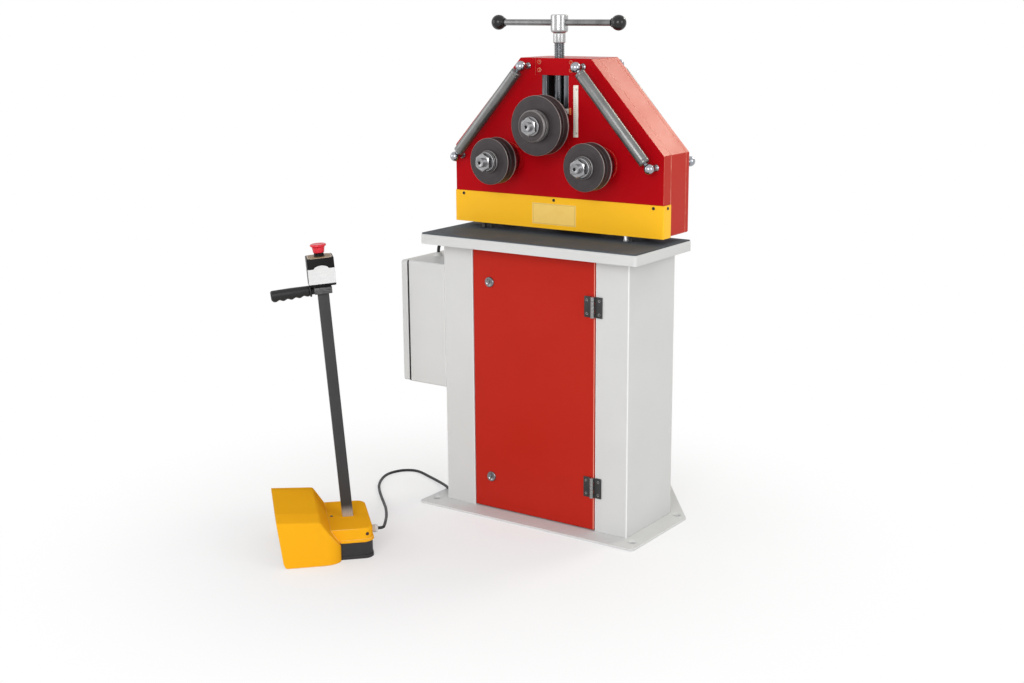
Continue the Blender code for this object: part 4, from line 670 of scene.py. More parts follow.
pin_x, pin_y = 0.190, -0.0888
for leaf, hinge_z in (("upper_hinge_leaf", 0.6175), ("lower_hinge_leaf", 0.1279)):
    half = 0.0555 / 2
    fixed = bmesh.new()
    slab(fixed, (0.1958, -0.08585, hinge_z - half), (0.2175, -0.0834, hinge_z + half), 0.0005)
    hung = bmesh.new()
    slab(hung, (0.1627, -0.08585, hinge_z - half), (0.1842, -0.0834, hinge_z + half), 0.0005)
    knuckle = half * 2 / 5
    for step in range(5):
        target, side = (fixed, 1) if step % 2 == 0 else (hung, -1)
        low = hinge_z - half + knuckle * step + 0.0002
        slab(target, (pin_x + min(0, side * 0.0062), -0.08585, low),
             (pin_x + max(0, side * 0.0062), -0.0838, low + knuckle - 0.0004), 0.0003)
        barrel = rod(target, 0.0054, knuckle - 0.0004,
                     (pin_x, pin_y, low + knuckle / 2 - 0.0002))
        for face in {face for knot in barrel for face in knot.link_faces}:
            face.material_index = 1
    for made in (mounted(finished(leaf + "_fixed", fixed, hinge_black), "machine",
                         leaf),
                 mounted(finished(leaf + "_hung", hung, hinge_black), "door")):
        made.data.materials.append(barrel_steel)
    for body, x in (("machine", 0.2085), ("door", 0.1712)):
        screws = bmesh.new()
        for z in (-0.018, 0.018):
            countersunk_screw(screws, (x, -0.0860, hinge_z + z), 0.0032)
        mounted(finished(leaf + "_screws_" + body, screws, zinc_plate), body)
    pin = spun(leaf + "_pin", [(0, -half), (0.0024, -half), (0.0024, half), (0, half)], "Z",
               (pin_x, pin_y, hinge_z), zinc_plate, 20, 0.0004)
    mounted(pin, "machine")


# ---- Door locks ----
# Two quarter-turn locks: a chromed bezel, a turning insert with a key slot
# and, behind the sheet, a cam.

lock_chrome = clouded("lock_chrome", 0.16, 1.0, 300.0, 2.0, (0.17, 0.17, 0.18),
                      (0.30, 0.30, 0.31), (0.12, 0.24))


def carve(target, cutter, operation="DIFFERENCE"):
    """Cuts one piece out of another for good, or joins it on; the cutter is used up."""
    boolean = target.modifiers.new("carve", "BOOLEAN")
    boolean.operation = operation
    boolean.object = cutter
    boolean.solver = "EXACT"
    bpy.context.view_layer.update()
    cut_mesh = bpy.data.meshes.new_from_object(
        target.evaluated_get(bpy.context.evaluated_depsgraph_get()))
    target.modifiers.remove(boolean)
    target.data = cut_mesh
    bpy.data.objects.remove(cutter)


def block(name, low, high, material, ease=0.0, steps=2, place=None):
    """A piece made of one block with eased edges."""
    bm = bmesh.new()
    slab(bm, low, high, ease, steps)
    return finished(name, bm, material, place)


for lock, body, z in (("door_lock_upper", "lock_upper", 0.650),
                      ("door_lock_lower", "lock_lower", 0.099)):
    head = spun(lock + "_turned", [
        (0, -0.0020), (0.0064, -0.0020), (0.0072, -0.0028), (0.0092, -0.0040),
        (0.0128, -0.0040), (0.0142, -0.0018), (0.0142, -0.0002), (0.0079, -0.0002),
        (0.0079, 0.0024), (0.0120, 0.0024), (0.0120, 0.0052), (0.0079, 0.0052),
        (0.0079, 0.0215), (0, 0.0215)], "Y", (-0.140, door_face, z), lock_chrome, 48, 0.0003)
    carve(head, block("key_slot", (-0.1413, -0.0862, z - 0.0048),
                      (-0.1387, -0.0835, z + 0.0048), lock_chrome, 0.0003))
    cam = block(lock + "_cam", (-0.2049, -0.0636, z - 0.006), (-0.140, -0.0610, z + 0.006),
                zinc_plate, 0.0006)
    mounted(head, body, lock)
    mounted(cam, body)


# ---- Electrical box ----
# A grey sheet box screwed to the stand's left side: a shell, a black gasket,
# a lid on lift-off hinges at the back edge, and switchgear inside.

shell = sheet_pan("electrical_shell", (-0.4187, -0.083, 0.333), (stand_left, 0.167, 0.684),
                  ((-1, 0, 0),), 0.0022, 0.006, 0.002, grey_coat)
mounted(shell, "machine", "electrical_box")
lid = sheet_pan("electrical_lid", (-0.4458, -0.083, 0.335), (-0.4252, 0.167, 0.682),
                ((1, 0, 0),), 0.0026, 0.006, 0.002, grey_coat)
mounted(lid, "box_door", "electrical_box_door")


def recoated(node, material):
    """Gives a CAD piece that is shown as it is its finish."""
    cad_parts[node].data.materials[0] = material


recoated("box_gasket", rubber_sheath("gasket_rubber", (0.016, 0.016, 0.016)))

for name, body, near, far, low, high, middle, length in (
        ("box_hinge_halves", "machine", -0.4210, -0.4050, 0.0, 0.0200, 0.0100, 0.0198),
        ("lid_hinge_halves", "box_door", -0.4322, -0.4226, 0.0204, 0.0400, 0.0302, 0.0194)):
    halves = bmesh.new()
    for z in (0.395, 0.620):
        slab(halves, (near, 0.1665, z + low), (far, 0.1705, z + high), 0.0006)
        rod(halves, 0.0040, length, (-0.4218, 0.172, z + middle), 24)
    mounted(finished(name, halves, grey_coat), body)
for number, z in enumerate((0.400, 0.617)):
    insert = spun(f"lid_lock_{number}", [
        (0, -0.4440), (0.0058, -0.4440), (0.0066, -0.4448), (0.0098, -0.4457),
        (0.0110, -0.4446), (0.0110, -0.4436), (0.0075, -0.4436), (0.0075, -0.4290),
        (0, -0.4290)], "X", (0, -0.060, z), lock_chrome, 40, 0.0003)
    mounted(insert, "box_door")

recoated("contactor_plate", clouded("switch_plate_zinc", 0.4, 0.8, 40.0, 4.0,
                                    (0.34, 0.34, 0.33), (0.52, 0.52, 0.50), (0.3, 0.5)))
moulded_dark = moulded("contactor_moulding", (0.05, 0.05, 0.052), 0.5)
gear_bits = bmesh.new()
for y in (0.042, 0.114):
    slab(gear_bits, (-0.3692, y - 0.0229, 0.5496), (-0.3062, y + 0.0229, 0.6304), 0.0012)
    for step in range(3):
        for z in (0.612, 0.554):
            slab(gear_bits, (-0.3712, y - 0.019 + step * 0.0135, z),
                 (-0.3690, y - 0.009 + step * 0.0135, z + 0.014), 0.0006)
for step in range(12):
    slab(gear_bits, (-0.3472, -0.0435 + step * 0.0143, 0.3972),
         (-0.3062, -0.0308 + step * 0.0143, 0.4428), 0.0008)
mounted(finished("switchgear_blocks", gear_bits, moulded_dark), "machine")


# ---- Cable between the box and the stand ----
# A short stiff cable from a pale gland on the box's top, bent into the stand.

elbow_x, elbow_y, elbow_radius = -0.392, 0.020, 0.034
start_z = 0.6943
elbow = [(elbow_x, elbow_y, 0.6843), (elbow_x, elbow_y, start_z)]
for step in range(7):
    angle = math.pi / 2 * step / 6
    elbow.append((elbow_x + elbow_radius * (1 - math.cos(angle)), elbow_y,
                  start_z + 0.0045 + elbow_radius * math.sin(angle)))
elbow.append((-0.2954, 0.014, start_z + 0.0385))
elbow_cable = cable("box_elbow_cable", elbow, 0.009, sheath_black)
mounted(elbow_cable, "machine", "box_cable")
top_gland = spun("box_top_gland", [
    (0, 0.6835), (0.0120, 0.6835), (0.0120, 0.6862), (0.0102, 0.6864), (0.0102, 0.6900),
    (0.0086, 0.6936), (0.0058, 0.6943), (0, 0.6943)], "Z", (elbow_x, elbow_y, 0),
    gland_grey, 40, 0.0005)
mounted(top_gland, "machine")
wall_gland = spun("stand_side_gland", [
    (0.0046, -0.3012), (0.0074, -0.3012), (0.0088, -0.2992), (0.0088, stand_left),
    (0.0046, stand_left)], "X", (0, 0.014, start_z + 0.0385), gland_black, 32, 0.0005)
mounted(wall_gland, "machine")


# ---- Head plates and cover ----
# Two thick steel plates joined by a sheet cover, all enamelled in one red, given as two copies: a
# deep red on the front plate, and a lit copy, warmer and with pale painted highlights on its
# edges, on the cover, the rear plate and the upper faces.


def enamel(name, colour, roughness, lit_edge_colour, gloss, sheen, share=0.4, edge_radius=0.0016):
    """Enamel sprayed on steel: slow waves, and edges lighter, partly for thin paint and partly as
    a painted highlight.
    """
    paint = Finish(name, roughness, Specular_IOR_Level=gloss, Specular_Tint=(*sheen, 1.0))
    here = paint.place()
    cloud = paint.noise(here, 5.0, 3.0)
    body = paint.colour(cloud, shade(colour, 0.93), shade(colour, 1.07))
    thin_lit_edge = paint.edges(edge_radius) * paint.noise(here, 60.0, 3.0).ramp(0.3, 0.7, 0.35, 1.0)
    paint.set("Base Color", paint.colour(thin_lit_edge * share, body, lit_edge_colour))
    paint.set("Roughness", cloud.ramp(0.3, 0.7, roughness - 0.04, roughness + 0.05))
    paint.relief(paint.noise(here, 240.0, 1.0), 0.00010, 0.15, paint.rounded_normal(0.0016))
    return paint.material


head_red = enamel("head_deep_red", (0.435, 0.0025, 0.0065), 0.42, (0.85, 0.20, 0.12), 0.05,
                  (1.0, 0.9, 0.9))
# The lit copy of the red: its warmer colour and pale edges are painted highlight
cover_red = enamel("cover_red", (0.465, 0.009, 0.002), 0.34, (0.98, 0.50, 0.36), 0.19,
                   (1.0, 0.82, 0.48), 0.85, 0.0045)
front = eased("front_plate_enamelled", "front_plate", head_red, "machine", 0.0014)
rear = eased("rear_plate_enamelled", "rear_plate", cover_red, "machine", 0.0014)
eased("cover_enamelled", "head_cover", cover_red, "machine", 0.0007)
bridge = eased("bridge_enamelled", "top_bridge", head_red, "machine", 0.0010)
# The front plate's outer edge faces take the lit red as painted highlight, but the slot's edges,
# near the middle and below its top, do not
slot_half, slot_top = 0.06, 1.24
slope_from = 1.12  # the least sum of |x| and z on the sloping sides
front.data.materials.append(cover_red)
for face in front.data.polygons:
    if abs(face.normal.y) < 0.5 and abs(face.center.x) + face.center.z > slope_from and (
            abs(face.center.x) > slot_half or face.center.z > slot_top):
        face.material_index = 1
# Below the plates' foot, the studs they stand on are made black, as painted shade
stud_top = 0.792
for studded in (front, rear):
    studded.data.materials.append(cover_red)
    studded.data.materials.append(hinge_black)
    for face in studded.data.polygons:
        if face.center.z < stud_top:
            face.material_index = len(studded.data.materials) - 1
# The bridge's upward faces take the lit red, as painted highlight
bridge.data.materials.append(cover_red)
for face in bridge.data.polygons:
    face.material_index = int(face.normal.z > 0.5)

# Sleeves round the four studs that the head stands on: the left pair black as painted shade, the
# right pair zinc
for number, (x, y) in enumerate((x, y) for x in (-0.248, 0.210) for y in (0.044, 0.1542)):
    sleeve = spun(f"head_stud_{number}", [
        (0, 0.7745), (0.0085, 0.7745), (0.0085, 0.7770), (0.0058, 0.7775), (0.0058, 0.7932),
        (0, 0.7932)], "Z", (x, y, 0), hinge_black if x < 0 else zinc_plate, 28, 0.0003)
    mounted(sleeve, "machine")


def added(target, one, place):
    """Adds one bmesh to another, laid in place, and uses it up."""
    bmesh.ops.transform(one, matrix=place, verts=one.verts[:])
    holder = bpy.data.meshes.new("holder")
    one.to_mesh(holder)
    one.free()
    target.from_mesh(holder)
    bpy.data.meshes.remove(holder)


def hexagon_bolts(name, spots, across, height, facing, material):
    """Hexagon bolt heads on washers, turned from +Z by facing."""
    heads = bmesh.new()
    for spot in spots:
        one = bmesh.new()
        rod(one, across * 1.12, height * 0.22, (0, 0, height * 0.11))
        hexagon_nut(one, across, height * 0.2, height, height * 0.12)
        added(heads, one, Matrix.Translation(spot) @ facing)
    return finished(name, heads, material)


# The bolt heads take the lit red, with pale edges as painted highlights
bridge_bolts = hexagon_bolts("bridge_bolts", [
    (x, 0.0276, z) for x in (-0.050, 0.050) for z in (1.2121, 1.2327)], 0.0054, 0.0042,
    faces_front, cover_red)
mounted(bridge_bolts, "machine")
rear_bolts = hexagon_bolts("rear_plate_bolts", [
    (x, 0.1625, z) for x, z in ((-0.300, 0.825), (0.300, 0.825), (-0.300, 0.940), (0.300, 0.940),
                                (-0.070, 1.215), (0.070, 1.215), (0.0, 0.825))],
    0.0072, 0.0055, faces_back, zinc_plate)
mounted(rear_bolts, "machine")


# ---- Slot, guide bars and carriage ----
# Ground steel bars line the open slot; the carriage block slides between them
# and carries the upper roll and the white pointer.

ground_steel = Finish("ground_guide_steel", 0.34, 0.9)
ground_here = ground_steel.place(scale=(1.0, 1.0, 0.06))
ground_grain = ground_steel.noise(ground_here, 900.0, 3.0)
ground_body = ground_steel.colour(ground_grain, (0.055, 0.058, 0.064), (0.13, 0.135, 0.145))
# The bars' near-white edges are a painted highlight on their chamfers
ground_steel.set("Base Color", ground_steel.colour(ground_steel.edges(0.0011), ground_body,
                                                   (0.75, 0.75, 0.76)))
ground_steel.set("Roughness", ground_grain.ramp(0.3, 0.7, 0.26, 0.42))
ground_steel.relief(ground_grain, 0.00004, 0.5, ground_steel.rounded_normal(0.0011))
guide_steel = ground_steel.material
for side in ("left", "right"):
    eased(f"guide_{side}_ground", f"guide_bar_{side}", guide_steel, "machine",
          0.0010)
liners = bmesh.new()
for low, high in ((-0.0413, -0.0270), (0.0270, 0.0413)):
    slab(liners, (low, 0.0279, 1.0000), (high, 0.0334, 1.1985), 0.0004)
mounted(finished("slot_liners", liners, guide_steel), "machine")
eased("carriage_machined", "carriage_block", guide_steel, "carriage", 0.0012)
mounted(block("slot_apron", (-0.0425, 0.0262, 0.9850), (0.0425, 0.0275, 1.0920), head_red, 0.0004,
              1),
        "carriage")
strip_white = moulded("scale_white", (0.80, 0.78, 0.74), 0.42, 1800.0, 0.00003)
eased("pointer_painted", "height_pointer", strip_white, "carriage", 0.0004)
pointer_screw = spun("pointer_screw", [(0, 0.0182), (0.0022, 0.0182), (0.0027, 0.0192),
                                       (0.0027, 0.0198), (0, 0.0198)], "Y",
                     (0.022, 0, 1.1105), zinc_plate, 20, 0.0002)
mounted(pointer_screw, "carriage")
tip_orange = moulded("pointer_tip_orange", (0.80, 0.16, 0.05), 0.40, 1800.0, 0.00003)
mounted(block("pointer_tip", (0.0473, 0.0196, 1.0980), (0.0535, 0.0222, 1.1160), tip_orange,
              0.0004),
        "carriage")

# A plain scale beside the slot: a white strip with a line every 5 mm
scale_finish = Finish("scale_strip", 0.4)
scale_x, _, scale_z = scale_finish.xyz(scale_finish.place((0.0645, 0.0, 1.107)))
rule = scale_finish.node("Math", {"operation": "FRACT"}, scale_z * 200.0 + 50.5)
line = (1.0 - abs(rule - 0.5).ramp(0.05, 0.10)) * (0.0005 - scale_x).ramp(0.0, 0.0004)
scale_cloud = scale_finish.noise(scale_finish.place(), 90.0, 3.0)
scale_body = scale_finish.colour(scale_cloud, (0.86, 0.80, 0.70), (0.95, 0.90, 0.80))
scale_finish.set("Base Color", scale_finish.colour(line * 0.55, scale_body, (0.10, 0.09, 0.09)))
scale_finish.set("Roughness", scale_cloud.ramp(0.3, 0.7, 0.34, 0.5))
scale_finish.relief(scale_cloud, 0.00005, 0.3)
mounted(block("scale_strip", (0.0572, 0.0262, 1.0395), (0.0718, 0.0276, 1.1745),
              scale_finish.material, 0.0004),
        "machine")
strip_screws = bmesh.new()
for z in (1.0500, 1.1640):
    countersunk_screw(strip_screws, (0.0675, 0.0260, z), 0.0021)
mounted(finished("scale_screws", strip_screws, hinge_black), "machine")


# ---- Yellow guard ----
# A strip of 2 mm sheet folded round the head's foot, powder coated yellow,
# with socket screws and a bare pale plate in the middle.

# Its pale yellow edges are partly thin paint and partly painted highlight
guard_coat = powder_coat("guard_yellow_coat", (1.0, 0.53, 0.014), 0.36, 1000.0, 0.0001,
                         edge_highlight_share=0.6, gloss=0.2, thin_lit_edge=(1.0, 0.72, 0.25))
guard = sheet_pan("guard_folded", (-0.3317, 0.0252, 0.7910), (0.3317, 0.0640, 0.8770),
                  ((0, 1, 0), (0, 0, 1), (0, 0, -1)), 0.0026, 0.0, 0.0019, guard_coat)
mounted(guard, "machine", "lower_guard")


def socket_screws(name, spots, radius, height, facing, material):
    """Button screws with a hexagon socket, turned from +Z by facing."""
    heads = bmesh.new()
    for spot in spots:
        one = bmesh.new()
        hexagon = bmesh.ops.create_circle(one, segments=6, radius=radius * 0.5)["verts"]
        bmesh.ops.translate(one, vec=(0, 0, height * 0.35), verts=hexagon)
        base = bmesh.ops.contextual_create(one, geom=hexagon)["faces"]
        upper = bmesh.ops.extrude_face_region(one, geom=base)["geom"]
        mouth = corners_in(upper)
        lid_face = [part for part in upper if isinstance(part, bmesh.types.BMFace)]
        bmesh.ops.translate(one, vec=(0, 0, height * 0.65), verts=mouth)
        bmesh.ops.delete(one, geom=lid_face, context="FACES_ONLY")
        inner = [edge for edge in one.edges if all(knot in mouth for knot in edge.verts)]
        ring = bmesh.ops.create_circle(one, segments=24, radius=radius * 0.74)["verts"]
        bmesh.ops.translate(one, vec=(0, 0, height), verts=ring)
        outer = [edge for edge in one.edges if all(knot in ring for knot in edge.verts)]
        bmesh.ops.bridge_loops(one, edges=inner + outer)
        for grow, drop in ((1.0 / 0.74, -0.45), (1.0, -0.60)):
            grown = bmesh.ops.extrude_edge_only(one, edges=outer)["geom"]
            outer = edges_in(grown)
            knots = corners_in(grown)
            bmesh.ops.scale(one, vec=(grow, grow, 1), verts=knots)
            bmesh.ops.translate(one, vec=(0, 0, drop * height), verts=knots)
        added(heads, one, Matrix.Translation(spot) @ facing)
    return finished(name, heads, material)


screw_black = moulded("blacked_screw", (0.035, 0.030, 0.028), 0.35, 3000.0, 0.00003)
guard_screws = socket_screws("guard_screws", [
    (-0.3024, 0.0253, 0.869), (-0.0035, 0.0253, 0.869), (0.3016, 0.0253, 0.869)],
    0.0042, 0.0022, faces_front, screw_black)
guard_side_screws = socket_screws("guard_side_screws", [(0.3316, 0.0460, 0.869)],
                                  0.0042, 0.0022, Matrix.Rotation(math.pi / 2, 4, "Y"),
                                  screw_black)
for made in (guard_screws, guard_side_screws):
    mounted(made, "machine")

plate_finish = Finish("bare_plate", 0.42)
plate_x, _, plate_z = plate_finish.xyz(plate_finish.place((-0.003, 0.0, 0.8305)))
frame_line = (abs(plate_x).ramp(0.0655, 0.0658) - abs(plate_x).ramp(0.0668, 0.0671)) * (
    abs(plate_z).ramp(0.0274, 0.0271))
frame_line_z = (abs(plate_z).ramp(0.0255, 0.0258) - abs(plate_z).ramp(0.0266, 0.0269)) * (
    abs(plate_x).ramp(0.0671, 0.0668))
plate_cloud = plate_finish.noise(plate_finish.place(), 70.0, 4.0)
plate_body = plate_finish.colour(plate_cloud, (0.90, 0.58, 0.11), (0.96, 0.66, 0.17))
plate_finish.set("Base Color", plate_finish.colour(
    frame_line.math("MAXIMUM", frame_line, frame_line_z) * 0.5, plate_body, (0.42, 0.26, 0.05)))
plate_finish.set("Roughness", plate_cloud.ramp(0.3, 0.7, 0.34, 0.5))
plate_finish.relief(plate_cloud, 0.00005, 0.3)
mounted(block("bare_guard_plate", (-0.0730, 0.0246, 0.8020), (0.0670, 0.0253, 0.8590),
              plate_finish.material, 0.0002, 1),
        "machine")


# ---- Rolls, shafts and nuts ----
# Browned steel discs in pairs with a groove between them, a stepped collar, a
# flanged hexagon nut and the bare end of the shaft with its centre hole.


def turned_metal(name, dark, light, axis, centre, roughness, metallic, rings, edge=None,
                 edge_radius=0.0006, bands=()):
    """Steel from the lathe: fine rings about its axis, and bright edges, partly rubbed and partly
    a painted highlight.

    Each band (inner radius, outer radius, from, to, colour) tints what lies
    between two radii and two heights along the axis.
    """
    steel = Finish(name, roughness, metallic)
    scale = {"X": (0, 1, 1), "Y": (1, 0, 1), "Z": (1, 1, 0)}[axis]
    flat = steel.place(centre, scale)
    radius = steel.node("VectorMath", {"operation": "LENGTH"}, flat, output=1)
    height = steel.xyz(steel.place(centre))["XYZ".index(axis)]
    ring = steel.streaks(radius + height, rings)
    broad = steel.streaks(radius + height * 0.7, rings * 0.08, 2.0)
    cloud = steel.noise(steel.place(centre), 38.0, 4.0)
    body = steel.colour((ring * 0.45 + broad * 0.3 + cloud * 0.45).ramp(0.3, 0.9), dark, light)
    if edge:
        rubbed = steel.edges(edge_radius) * cloud.ramp(0.25, 0.6, 0.45, 1.0)
        body = steel.colour(rubbed, body, edge)
    for inner, outer, low, high, tint in bands:
        inside = radius.ramp(inner, inner + 0.0003) * radius.ramp(outer + 0.0003, outer)
        inside = inside * height.ramp(low - 0.0001, low + 0.0001) * height.ramp(
            high + 0.0001, high - 0.0001)
        body = steel.colour(inside * cloud.ramp(0.2, 0.6, 0.7, 1.0), body, tint)
    steel.set("Base Color", body)
    steel.set("Roughness", (ring * 0.5 + cloud * 0.5).ramp(0.3, 0.7, roughness - 0.07,
                                                           roughness + 0.09))
    steel.relief(ring, 0.00004, 0.5)
    return steel.material


def creased(piece, angle):
    """Soft shading again after a cut, with the edges over the angle kept sharp."""
    piece.data.shade_smooth()
    piece.data.set_sharp_from_angle(angle=math.radians(angle))
    even_shading(piece)


lower_z = 0.9734
lower_steps = (
    (0.0262, 0.0), (0.0270, 0.0008), (0.0270, 0.0034), (0.0254, 0.0038), (0.0254, 0.0046),
    (0.0292, 0.0048), (0.0300, 0.0058), (0.0300, 0.0100), (0.0288, 0.0108))
roll_sets = (
    # name, x, z, disc radius, face, nut length, shaft end, shoulder end, collar steps
    ("upper_roll", 0.0, 1.0735, 0.078, -0.0654, 0.0150, -0.1120, 0.0194, (
        (0.0388, 0.0), (0.0420, 0.0032), (0.0420, 0.0080), (0.0396, 0.0084), (0.0396, 0.0108),
        (0.0420, 0.0112), (0.0420, 0.0204), (0.0404, 0.0208), (0.0404, 0.0219))),
    ("left_roll", -0.1485, lower_z, 0.062, -0.0684, 0.0210, -0.1133, 0.0191, lower_steps),
    ("right_roll", 0.1485, lower_z, 0.062, -0.0684, 0.0210, -0.1133, 0.0191, lower_steps),
)
# Pale bands at the rim chamfers of the front and rear discs are painted highlights
painted_rim_highlight = (0.42, 0.37, 0.35)
bore = 0.0153
neck = 0.0149
cap_circle = 0.032
for (roll, x, z, disc_radius, face, nut_length, shaft_end, shoulder_end,
     collar_steps) in roll_sets:
    centre = (x, 0, z)
    upper = roll == "upper_roll"
    shoulder = 0.0280 if upper else 0.0400
    browned = turned_metal(
        roll + "_browned", (0.030, 0.0245, 0.0260), (0.062, 0.052, 0.054), "Y", centre, 0.48, 0.6,
        2200.0, (0.20, 0.18, 0.175), 0.0007, bands=(
            (disc_radius - 0.0010, disc_radius + 0.001, face - 0.0004, face + 0.0011,
             painted_rim_highlight),
            (disc_radius - 0.0006, disc_radius + 0.001, face + 0.0345, face + 0.0386,
             painted_rim_highlight)))
    nut_steel = turned_metal(roll + "_nut_steel", (0.20, 0.20, 0.21), (0.44, 0.44, 0.45), "Y",
                             centre, 0.20, 0.95, 1700.0, (0.74, 0.74, 0.74), 0.0009)
    # The shaft's second band darkens the centre hole in its end, as painted shade
    shaft_steel = turned_metal(
        roll + "_shaft_steel", (0.18, 0.18, 0.19), (0.36, 0.36, 0.37), "Y", centre, 0.26, 1.0,
        1700.0, (0.62, 0.62, 0.62), 0.0005, bands=(
            (0.0200, 0.0410, -0.0400, 0.0300, (0.235, 0.245, 0.270)),
            (0.0, 0.0042, -0.2, 0.0, (0.02, 0.02, 0.02))))
    collar_length = 0.0222 if upper else 0.0110
    collar_face = face - collar_length
    front_disc = spun(roll + "_front_disc_turned", [
        (bore, face), (disc_radius - 0.0013, face), (disc_radius, face + 0.0013),
        (disc_radius, face + 0.0090), (disc_radius - 0.0010, face + 0.0100),
        (bore, face + 0.0100)], "Y", centre, browned, 112, 0.0002)
    rear_disc = spun(roll + "_rear_disc_turned", [
        (bore, face + 0.0103), (disc_radius - 0.0180, face + 0.0103),
        (disc_radius - 0.0180, face + 0.0158), (disc_radius - 0.0024, face + 0.0160),
        (disc_radius - 0.0012, face + 0.0172), (disc_radius - 0.0012, face + 0.0336),
        (disc_radius, face + 0.0350), (disc_radius, face + 0.0388),
        (disc_radius - 0.0012, face + 0.0400), (bore, face + 0.0400)],
        "Y", centre, browned, 112, 0.0002)
    # Lighter bands on the collars' chamfers and outer faces are painted highlights
    if upper:
        collar_painted_highlights = ((0.0384, 0.0424, collar_face - 0.0002, collar_face + 0.0034,
                         (0.22, 0.20, 0.20)),
                        (0.0412, 0.0424, collar_face + 0.0034, collar_face + 0.0082,
                         (0.30, 0.28, 0.28)),
                        (0.0412, 0.0424, collar_face + 0.0110, collar_face + 0.0206,
                         (0.34, 0.32, 0.32)))
    else:
        collar_painted_highlights = ((0.0262, 0.0274, collar_face - 0.0002, collar_face + 0.0036,
                         (0.26, 0.25, 0.25)),
                        (0.0289, 0.0304, collar_face + 0.0046, collar_face + 0.0110,
                         (0.32, 0.31, 0.31)))
    collars = spun(roll + "_collar_turned", [(bore, collar_face)] + [
        (radius, collar_face + back) for radius, back in collar_steps] + [
        (bore, collar_face + collar_steps[-1][1])], "Y", centre, turned_metal(
            roll + "_collar_steel", (0.042, 0.036, 0.037), (0.088, 0.078, 0.079), "Y", centre,
            0.40, 0.8, 1500.0, (0.34, 0.32, 0.31), 0.0005, bands=collar_painted_highlights), 96, 0.0002)
    nut_back = collar_face - 0.0002
    nut_face = nut_back - nut_length
    nut_place = Matrix.Translation((x, nut_back, z)) @ faces_front
    nut_bm = bmesh.new()
    hexagon_nut(nut_bm, 0.0242, 0.0040, nut_length, 0.0003)
    nut = finished(roll + "_nut_hexagon", nut_bm, nut_steel, nut_place)
    carve(nut, spun("nut_limit", [
        (0, 0.0), (0.0262, 0.0), (0.0262, nut_length - 0.0036), (0.0196, nut_length),
        (0, nut_length)], "Z", (0, 0, 0), nut_steel, 96, 0.0, nut_place), "INTERSECT")
    creased(nut, 25.0)
    flange = spun(roll + "_nut_flange", [
        (bore, 0.0), (0.0248, 0.0), (0.0256, 0.0008), (0.0256, 0.0026), (0.0240, 0.0044),
        (bore, 0.0044)], "Z", (0, 0, 0), nut_steel, 80, 0.0002, nut_place)
    shaft = spun(roll + "_shaft_turned", [
        (0, shaft_end + 0.0070), (0.0018, shaft_end + 0.0056), (0.0020, shaft_end + 0.0034),
        (0.0044, shaft_end + 0.0004), (0.0052, shaft_end), (0.0112, shaft_end),
        (0.0125, shaft_end + 0.0013), (0.0125, nut_face + 0.0010), (neck, nut_face + 0.0030),
        (neck, face + 0.0402), (shoulder, face + 0.0404), (shoulder, shoulder_end - 0.0002),
        (neck, shoulder_end)] + (
        [(neck, 0.0852), (0.0220, 0.0852), (0.0220, 0.0932), (0, 0.0932)] if upper else [
            (neck, 0.1604), (0, 0.1604)]),
        "Y", centre, shaft_steel, 72, 0.0)
    for made, node, slot in ((front_disc, "_front_disc", "roll_steel"),
                             (rear_disc, "_rear_disc", "roll_steel"),
                             (collars, None, "roll_steel"), (nut, "_nut", "bright_steel"),
                             (flange, None, "bright_steel"), (shaft, "_shaft", "bright_steel")):
        mounted(made, roll, node and roll + node)
    if not upper:
        # Bearing housings: a low ring in front, a closed cap behind
        ring = spun(roll + "_bearing_ring", [
            (0.0292, 0.0212), (0.0420, 0.0212), (0.0463, 0.0238), (0.0463, 0.0276),
            (0.0292, 0.0276)], "Y", centre, head_red, 80, 0.0008)
        seal = spun(roll + "_bearing_seal", [
            (0.0156, 0.0200), (0.0290, 0.0200), (0.0290, 0.0240), (0.0156, 0.0240)], "Y",
            centre, gland_black, 48, 0.0004)
        cap = spun(roll + "_rear_cap", [
            (0, 0.1700), (0.0170, 0.1700), (0.0200, 0.1686), (0.0390, 0.1678),
            (0.0400, 0.1668), (0.0400, 0.1627), (0, 0.1627)], "Y", centre, cover_red, 64,
            0.0005)
        circle = [(x + cap_circle * math.cos(a), 0.1677, z + cap_circle * math.sin(a))
                  for a in (math.pi * (0.25 + 0.5 * k) for k in range(4))]
        cap_screws = socket_screws(roll + "_cap_screws", circle, 0.0040, 0.0030, faces_back,
                                   screw_black)
        for made in (ring, seal, cap, cap_screws):
            mounted(made, "machine")
        recoated(roll + "_gear", browned)


# ---- Lead screw, hub, handle and knobs ----
# A trapezoidal thread runs through the bridge; above it a bright neck and hub
# hold the cross handle with its two black ball knobs.

screw_y = 0.0475
screw_centre = (0, screw_y, 0)
handle_z = 1.334
screw_bright = turned_metal("screw_bright", (0.34, 0.34, 0.34), (0.52, 0.52, 0.52), "Z",
                            screw_centre, 0.24, 0.9, 1200.0, (0.92, 0.92, 0.92), 0.0007)
screw_dark = turned_metal("screw_thread_steel", (0.060, 0.064, 0.070), (0.13, 0.135, 0.145), "Z",
                          screw_centre, 0.28, 0.95, 1600.0, (0.60, 0.60, 0.62), 0.0005)
hub = spun("screw_hub_turned", [
    (0, 1.3545), (0.0206, 1.3545), (0.0226, 1.3528), (0.0230, 1.3500), (0.0230, 1.3145),
    (0.0222, 1.3110), (0.0190, 1.3086), (0.0168, 1.3076), (0.0163, 1.3050),
    (0.0163, 1.2832), (0.0150, 1.2815), (0, 1.2815)], "Z", screw_centre, screw_bright, 72,
    0.0004)
pitch = 0.0050
turns = 33
thread_bm = bmesh.new()
ridge = [(0.0117, 0.0), (0.0117, 0.0018), (0.0140, 0.0026), (0.0140, 0.0042), (0.0117, 0.0050)]
knots = [thread_bm.verts.new((radius, 0, height)) for radius, height in ridge]
